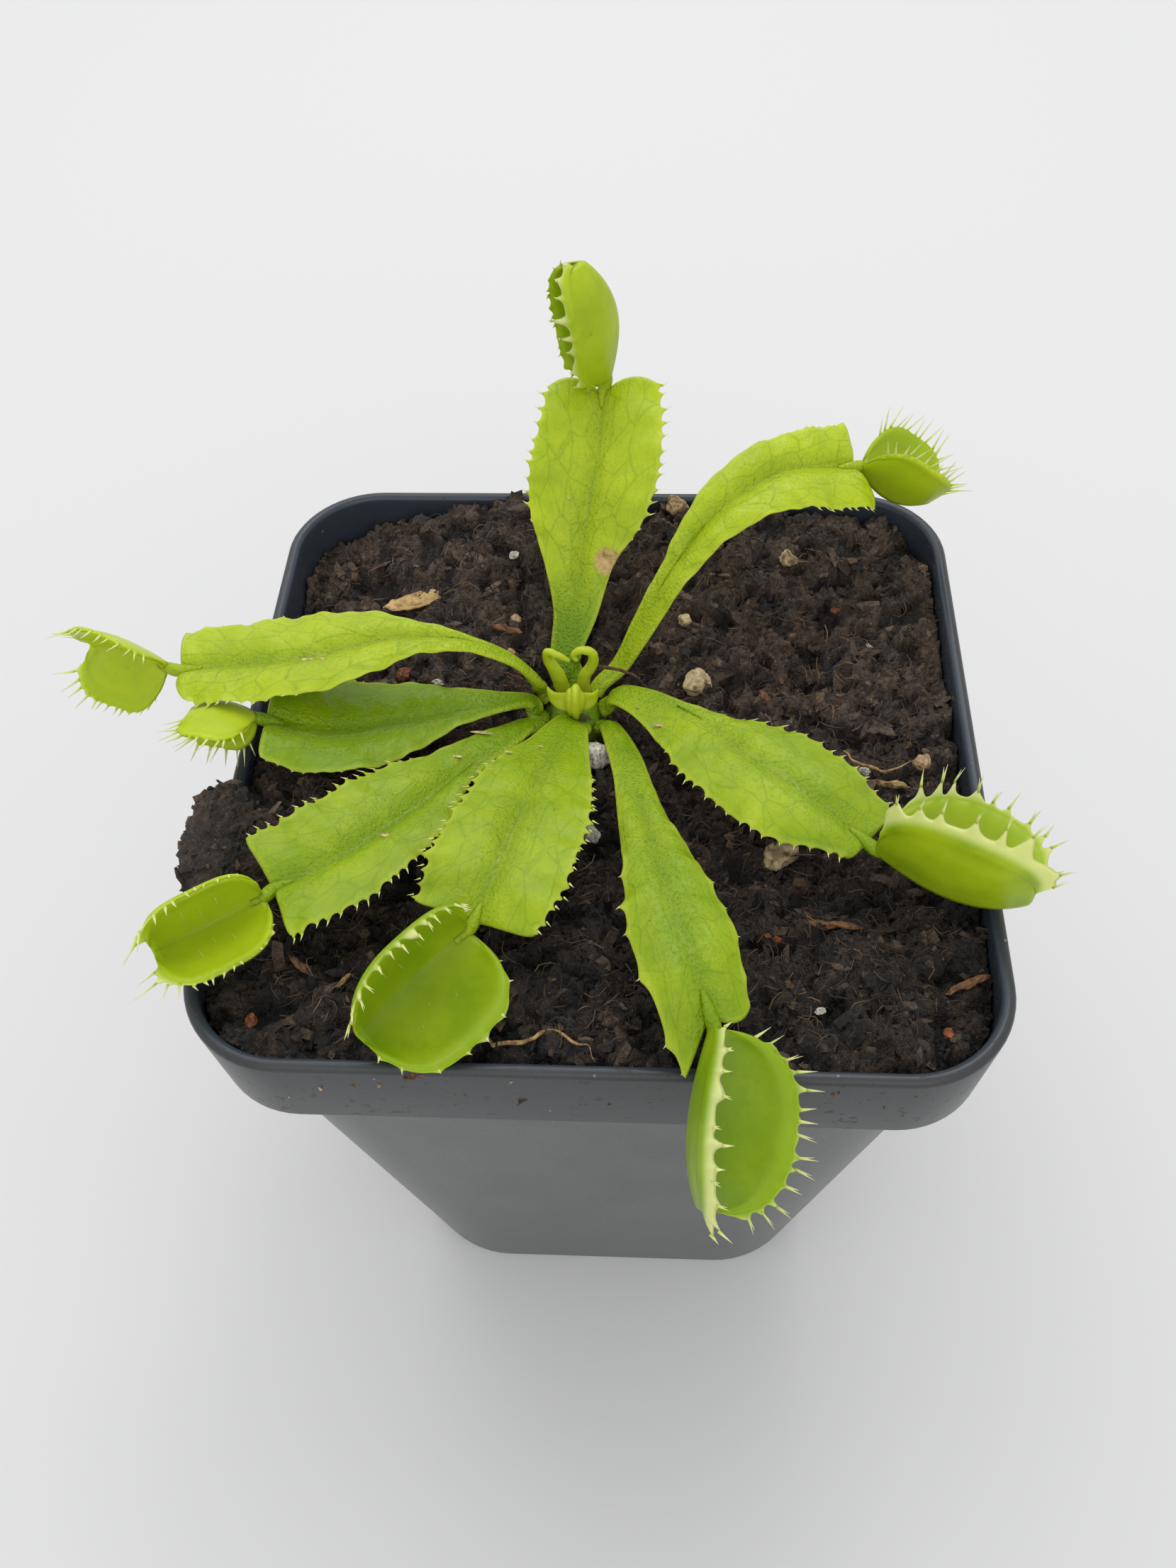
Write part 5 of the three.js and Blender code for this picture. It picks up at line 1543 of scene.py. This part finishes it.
def spots_mesh(name, spots):
    """Mesh of bare points with the values that the spikes grow by."""
    mesh = bpy.data.meshes.new(name)
    mesh.from_pydata([tuple(np.array(spot[0]) * MM) for spot in spots], [], [])
    for k, key in ((1, "way"), (2, "face")):
        values = np.array([spot[k] for spot in spots], np.float32)
        mesh.attributes.new(key, "FLOAT_VECTOR", "POINT").data.foreach_set("vector", values.ravel())
    for k, key, scale in ((3, "size", MM), (4, "girth", 1), (5, "fork", 1)):
        values = np.array([spot[k] * scale for spot in spots], np.float32)
        mesh.attributes.new(key, "FLOAT", "POINT").data.foreach_set("value", values)
    return mesh


def ribbon(points, widths, thickness, face):
    """Tapered strip along a smooth curve, lying square to its face direction."""
    path = smooth_path(points, RIBBON_ROWS)
    ahead = unit(np.gradient(path, axis=0))
    across = unit(np.cross(ahead, np.array(face, float)))
    width = along(widths, np.linspace(0, 1, RIBBON_ROWS))
    u = np.sin(np.linspace(-1, 1, RIBBON_COLUMNS) * math.pi / 2)
    middle = path[:, None] + across[:, None] * (u * width[:, None])[..., None]
    row = np.arange(RIBBON_ROWS)
    ends = np.clip(np.minimum(row, row[::-1]) / 2, 0, 1)[:, None]
    return sheet(middle, thickness / 2 * np.sqrt(1 - u * u) * np.sqrt(ends))


def bud_form():
    """Tiny folded trap on a short stalk: a ridged head with a pointed, upswept wing on either side."""
    at = np.array(BUD_AT)
    head = pebble((0, 0, 0), (1, 1, 1), seed=0.0, roughness=0.0, fineness=5)
    ball = head.points
    ridge = 0.12 * np.exp(-((ball[:, 0] - 0.15) / 0.3) ** 2)
    furrow = 0.07 * np.exp(-((np.abs(ball[:, 0] - 0.15) - 0.5) / 0.14) ** 2)
    taper = 1 - 0.3 * np.maximum(-ball[:, 2], 0)
    swell = (1 + ridge - furrow)[:, None]
    ball = ball * swell * np.column_stack([taper, taper, np.ones(len(ball))])
    head.points = ball * BUD_RADII + at
    stalk = tube([BUD_STALK, (at + np.array(BUD_STALK)) / 2 - (0, 0.3, 0), at - (0, 0, 1)], (1, 0.95, 0.8))
    form = head + stalk
    for span, rise in BUD_WINGS:
        hand = math.copysign(1, span)
        route = [at + np.array((span * share, 0.7 + 0.3 * share, rise * lift))
                 for share, lift in ((0.1, -0.3), (0.4, -0.45), (0.7, -0.15), (0.9, 0.45), (1, 1))]
        form = form + ribbon(route, (1.0, 1.15, 0.9, 0.45, 0.05), 0.8, (0.3 * hand, -0.8, 1))
    return form


# Settings

COLOUR = {"subtype": "COLOR", "size": 4, "min": 0, "max": 1}
SHARE = {"subtype": "FACTOR", "min": 0, "max": 1}


class PotSettings(bpy.types.PropertyGroup):
    colour: bpy.props.FloatVectorProperty(
        name="Plastic", description="Colour of the pot", default=colour(75, 77, 76), **COLOUR)
    worn_colour: bpy.props.FloatVectorProperty(
        name="Worn plastic", description="Colour of the pot's paler patches", default=colour(88, 90, 89),
        **COLOUR)
    dust_colour: bpy.props.FloatVectorProperty(
        name="Dust", description="Colour of dust specks", default=colour(150, 149, 144), **COLOUR)
    # Painted shade that darkens the collar
    collar_shade_colour: bpy.props.FloatVectorProperty(
        name="Collar", description="Painted shade that darkens the collar", default=colour(38, 41, 44), **COLOUR)
    # Painted shade on the wall's inside and the rim's inner half, not a colour of the plastic
    inner_shade_colour: bpy.props.FloatVectorProperty(
        name="Inner wall", description="Painted shade on the wall's inside", default=colour(56, 63, 74), **COLOUR)
    roughness: bpy.props.FloatProperty(
        name="Roughness", description="Roughness of clean plastic", default=0.34, **SHARE)


class SoilSettings(bpy.types.PropertyGroup):
    colour: bpy.props.FloatVectorProperty(
        name="Peat", description="Main colour of the peat", default=colour(46, 37, 31), **COLOUR)
    # Darkest peat, also used as the painted shade in the soil's hollows
    dark_colour: bpy.props.FloatVectorProperty(
        name="Damp peat and shade", description="Darkest colour of the peat, also its painted shade in the hollows", default=colour(16, 13, 12), **COLOUR)
    pale_colour: bpy.props.FloatVectorProperty(
        name="Dry peat", description="Colour of the drier crumbs", default=colour(100, 82, 66), **COLOUR)
    roughness: bpy.props.FloatProperty(
        name="Lumpiness", description="Height of the soil's lumps", default=1.5 * MM, unit="LENGTH")
    hollow_depth: bpy.props.FloatProperty(
        name="Hollows", description="Depth of the hollows between lumps", default=1.4 * MM, unit="LENGTH")
    fineness: bpy.props.IntProperty(
        name="Fineness", description="Points along a side of the soil's surface", default=225, min=20)
    crumb_density: bpy.props.FloatProperty(
        name="Crumb density", description="Crumbs in a square metre", default=0.42e6)
    crumb_size: bpy.props.FloatProperty(
        name="Largest crumb", description="Radius of the largest crumbs", default=0.75 * MM, unit="LENGTH")
    flake_density: bpy.props.FloatProperty(
        name="Flake density", description="Flat flakes in a square metre", default=0.2e6)
    fibre_density: bpy.props.FloatProperty(
        name="Fibre density", description="Fibres in a square metre", default=0.95e6)


class LeafSettings(bpy.types.PropertyGroup):
    colour: bpy.props.FloatVectorProperty(
        name="Leaf", description="Main colour of the leaves", default=colour(146, 172, 10), **COLOUR)
    green_colour: bpy.props.FloatVectorProperty(
        name="Greener patches", description="Colour of the leaves' greener patches",
        default=colour(118, 148, 6), **COLOUR)
    yellow_colour: bpy.props.FloatVectorProperty(
        name="Yellower patches", description="Colour of the leaves' yellower patches",
        default=colour(178, 194, 30), **COLOUR)
    margin_colour: bpy.props.FloatVectorProperty(
        name="Margins", description="Colour of margins and rims", default=colour(188, 200, 66), **COLOUR)
    vein_colour: bpy.props.FloatVectorProperty(
        name="Veins", description="Colour of the midrib and veins", default=colour(92, 128, 4), **COLOUR)
    # Painted shade that deepens a trap's green along its hinge inside
    hinge_shade_colour: bpy.props.FloatVectorProperty(
        name="Hinge", description="Painted shade inside a trap along its hinge", default=colour(96, 130, 6),
        **COLOUR)
    tooth_colour: bpy.props.FloatVectorProperty(
        name="Teeth", description="Colour of the teeth's tips", default=colour(216, 220, 152), **COLOUR)
    young_colour: bpy.props.FloatVectorProperty(
        name="Young growth", description="Colour of the young leaves", default=colour(186, 196, 30),
        **COLOUR)
    roughness: bpy.props.FloatProperty(
        name="Roughness", description="Roughness of the leaves' skin", default=0.26, **SHARE)
    relief: bpy.props.FloatProperty(
        name="Relief", description="Height of the skin's blisters", default=0.17 * MM, unit="LENGTH")
    midrib_reach: bpy.props.FloatProperty(
        name="Midrib", description="Half width of the dark midrib", default=1.3 * MM, unit="LENGTH")
    forked: bpy.props.FloatProperty(
        name="Forked share", description="Share of the long bristles that fork", default=0.55, **SHARE)


class StageSettings(bpy.types.PropertyGroup):
    floor_colour: bpy.props.FloatVectorProperty(
        name="Floor", description="Colour of the floor", default=colour(216, 215, 213), **COLOUR)
    key_power: bpy.props.FloatProperty(
        name="Key light", description="Power of the main light", default=3.5, unit="POWER")
    fill_power: bpy.props.FloatProperty(
        name="Fill light", description="Power of the fill light", default=1.9, unit="POWER")
    glint_power: bpy.props.FloatProperty(
        name="Glint light", description="Power of the small light that glints on damp skin and peat",
        default=0.5, unit="POWER")
    sky: bpy.props.FloatProperty(
        name="Surroundings", description="Brightness of the surroundings", default=0.87)


# Operators

class FLYTRAP_OT_pot(bpy.types.Operator):
    """Build the square nursery pot"""

    bl_idname = "flytrap.pot"
    bl_label = "Pot"

    def execute(self, context):
        settings = context.scene.flytrap_pot
        pot = place("pot_shell", pot_form().mesh("pot_shell"), pot_finish(settings))
        drains = [round_tool(x * DRAIN_SPREAD, y * DRAIN_SPREAD, DRAIN_RADIUS, -FLOOR, 2 * FLOOR)
                  for x in (-1, 1) for y in (-1, 1)]
        cut(pot, drains)
        pot.data.shade_smooth()
        pot.data.set_sharp_from_angle(angle=math.radians(35))
        finish_piece(pot, "pot_plastic", "pot")
        return {"FINISHED"}


class FLYTRAP_OT_soil(bpy.types.Operator):
    """Build the peat and the clod spilled over the rim, with the crumbs, flakes and fibres on them"""

    bl_idname = "flytrap.soil"
    bl_label = "Soil"

    def execute(self, context):
        settings = context.scene.flytrap_soil
        peat = peat_finish(settings)
        form = soil_form(settings) + spill_form(settings)
        surface = form.mesh("soil_surface")
        crumb_finish = peat_finish(settings, "peat_crumbs", "tone")
        tree = crumb_tree()
        crumbs = grow("soil_crumbs", surface, tree, crumb_finish, Density=settings.crumb_density,
                      Smallest=settings.crumb_size * 0.2, Largest=settings.crumb_size, Flatness=0.75,
                      Stretch=1.2)
        flakes = grow("soil_flakes", surface, tree, crumb_finish, Density=settings.flake_density,
                      Smallest=settings.crumb_size * 0.25, Largest=settings.crumb_size * 1.1,
                      Flatness=0.3, Stretch=2.2, Seed=21)
        fibres = grow("soil_fibres", surface, fibre_tree(), fibre_finish(settings),
                      Density=settings.fibre_density)
        soil = place("soil_heap", surface, peat)
        hole = round_tool(CROWN[0], CROWN[1], HOLE_RADIUS, CROWN[2] - HOLE_DEPTH - SEAT, POT_HEIGHT)
        cut(soil, [hole])
        soil.data.shade_smooth()
        for piece in (soil, crumbs, flakes, fibres):
            finish_piece(piece, "peat_soil", "soil")
        return {"FINISHED"}


class FLYTRAP_OT_litter(bpy.types.Operator):
    """Scatter perlite, grit, bark chips and dead strands on the soil"""

    bl_idname = "flytrap.litter"
    bl_label = "Litter"

    def execute(self, context):
        finishes = {kind: grain_finish(*values) for kind, values in LITTER.items()}
        forms = defaultdict(list)
        for k, (x, y, radius, flat, kind) in enumerate(GRAINS):
            z = float(soil_height(x, y)) + radius * flat * (0.6 if kind == "perlite" else 0.35)
            forms[kind].append(pebble((x, y, z), (radius, radius * 0.85, radius * flat),
                                      seed=1.0 + k, roughness=0.42, fineness=4))
        for k, (start, end, width, kind) in enumerate(BARK_CHIPS):
            forms[kind].append(chip_form(start, end, width, 9 * k))
        forms["strand"] = [strand_form(route, 0.17) for route in DEAD_STRANDS]
        forms["thread"] = [curly(tube(route, (0.08, 0.2, 0.22, 0.16, 0.06), 8, 60), 0.4)
                           for route in CROWN_THREADS]
        for kind, parts in forms.items():
            piece = place(f"soil_{kind}", together(parts).mesh(kind), finishes[kind])
            finish_piece(piece, "peat_soil", "soil")
        bits = place("leaf_bits", leaf_bits_form().mesh("bits"), finishes["husk"])
        finish_piece(bits, "peat_soil")
        for kind, finish in (("soil", "bark"), ("dust", "cream")):
            piece = place(f"collar_{kind}", collar_bits_form(kind).mesh(kind), finishes[finish])
            finish_piece(piece, "peat_soil")
        return {"FINISHED"}


class FLYTRAP_OT_leaves(bpy.types.Operator):
    """Build the leaves: blade, neck and trap of each"""

    bl_idname = "flytrap.leaves"
    bl_label = "Leaves"

    def execute(self, context):
        finish = leaf_finish(context.scene.flytrap_leaves)
        for leaf in LEAVES:
            piece = place(leaf.name + "_blade", leaf_form(leaf).mesh(leaf.name), finish)
            finish_piece(piece, "leaf", leaf.name)
        return {"FINISHED"}


class FLYTRAP_OT_teeth(bpy.types.Operator):
    """Grow the teeth on the blades, and the bristles and trigger hairs of the traps"""

    bl_idname = "flytrap.teeth"
    bl_label = "Teeth and bristles"

    def execute(self, context):
        settings = context.scene.flytrap_leaves
        finish = tooth_finish(settings)
        tree = spike_tree()
        for k, leaf in enumerate(LEAVES):
            draw = np.random.default_rng(HAIR_SEED + k)
            spots = margin_hairs(leaf, draw) + trap_hairs(leaf, settings, draw)
            piece = grow(leaf.name + "_teeth", spots_mesh("spots", spots), tree, finish)
            piece.data.shade_smooth()
            finish_piece(piece, "leaf", leaf.name)
        return {"FINISHED"}


class FLYTRAP_OT_young(bpy.types.Operator):
    """Build the young leaves, the bud and the rhizome's finish"""

    bl_idname = "flytrap.young"
    bl_label = "Young growth"

    def execute(self, context):
        settings = context.scene.flytrap_leaves
        finish = young_finish(settings)
        for name, spine, radii in YOUNG_LEAVES:
            form = tube(spine, radii, 20, 48)
            form.points += 0.08 * grain(form.points, 1.2, 3)[:, None]
            piece = place(name + "_shoot", form.mesh(name), finish)
            finish_piece(piece, "young_leaf", name)
        bud = place("young_bud_head", bud_form().mesh("bud"), finish)
        finish_piece(bud, "young_leaf", "young_leaf_bud")
        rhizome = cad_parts["rhizome"]
        rhizome.data.materials.clear()
        rhizome.data.materials.append(rhizome_finish(settings))
        return {"FINISHED"}


class FLYTRAP_OT_stage(bpy.types.Operator):
    """Set up the floor, the lights and the camera"""

    bl_idname = "flytrap.stage"
    bl_label = "Stage"

    def execute(self, context):
        settings = context.scene.flytrap_stage
        scene = context.scene
        mesh = bpy.data.meshes.new("floor")
        corners = [(x * FLOOR_REACH, y * FLOOR_REACH, 0) for x, y in ((-1, -1), (1, -1), (1, 1), (-1, 1))]
        mesh.from_pydata(corners, [], [(0, 1, 2, 3)])
        finish = Finish("floor", Specular_IOR_Level=0.2)
        finish.set(Base_Color=settings.floor_colour, Roughness=0.85)
        floor = place("floor", mesh, finish.material)
        for name, at, size in LIGHTS:
            add_light(name, at, size, getattr(settings, name + "_power"))
        world = bpy.data.worlds.new("surroundings")
        world.use_nodes = True
        back = world.node_tree.nodes["Background"]
        back.inputs["Color"].default_value = colour(*SKY_COLOUR)
        back.inputs["Strength"].default_value = settings.sky
        scene.world = world
        scene.view_settings.view_transform = "Standard"
        scene.camera = add_camera()
        return {"FINISHED"}


def add_light(name, at, size, power):
    """Soft square light aimed at the plant."""
    data = bpy.data.lights.new(name, "AREA")
    data.size = size
    data.energy = power
    light = place(name, data)
    light.location = at
    aim = Vector(LIT_POINT) - Vector(at)
    light.rotation_euler = aim.to_track_quat("-Z", "Y").to_euler()


def add_camera():
    """Camera in the place and with the lens of the photograph's."""
    yaw, pitch, roll = (math.radians(a) for a in (CAMERA_YAW, CAMERA_PITCH, CAMERA_ROLL))
    forward = Vector((-math.sin(yaw) * math.cos(pitch), math.cos(yaw) * math.cos(pitch), -math.sin(pitch)))
    level = Vector((math.cos(yaw), math.sin(yaw), 0))
    upright = level.cross(forward)
    right = level * math.cos(roll) + upright * math.sin(roll)
    up = upright * math.cos(roll) - level * math.sin(roll)
    data = bpy.data.cameras.new("camera")
    data.sensor_width = SENSOR
    data.lens = FOCAL_PIXELS / PHOTO_HEIGHT * SENSOR
    data.clip_start = 0.01
    camera = place("camera", data)
    turn = Matrix((right, up, -forward)).transposed()
    camera.matrix_world = Matrix.Translation(Vector(CAMERA_AT) * MM) @ turn.to_4x4()
    return camera


class FLYTRAP_PT_panel(bpy.types.Panel):
    """Settings and steps of the potted flytrap"""

    bl_idname = "FLYTRAP_PT_panel"
    bl_label = "Potted Venus Flytrap"
    bl_space_type = "VIEW_3D"
    bl_region_type = "UI"
    bl_category = "Flytrap"

    def draw(self, context):
        for settings, key, operators in STEPS:
            box = self.layout.box()
            for name in settings.__annotations__:
                box.prop(getattr(context.scene, key), name)
            for operator in operators:
                box.operator(operator.bl_idname)


# Settings, their name in the scene and the operators that read them, in building order
STEPS = (
    (PotSettings, "flytrap_pot", (FLYTRAP_OT_pot,)),
    (SoilSettings, "flytrap_soil", (FLYTRAP_OT_soil, FLYTRAP_OT_litter)),
    (LeafSettings, "flytrap_leaves", (FLYTRAP_OT_leaves, FLYTRAP_OT_teeth, FLYTRAP_OT_young)),
    (StageSettings, "flytrap_stage", (FLYTRAP_OT_stage,)),
)


def register():
    for settings, key, operators in STEPS:
        for kind in (settings, *operators):
            bpy.utils.register_class(kind)
        setattr(bpy.types.Scene, key, bpy.props.PointerProperty(type=settings))
    bpy.utils.register_class(FLYTRAP_PT_panel)


def unregister():
    bpy.utils.unregister_class(FLYTRAP_PT_panel)
    for settings, key, operators in reversed(STEPS):
        delattr(bpy.types.Scene, key)
        for kind in (*operators, settings):
            bpy.utils.unregister_class(kind)


def main():
    register()
    for _, _, operators in STEPS:
        for operator in operators:
            group, step = operator.bl_idname.split(".")
            getattr(getattr(bpy.ops, group), step)()


if __name__ == "__main__":
    main()
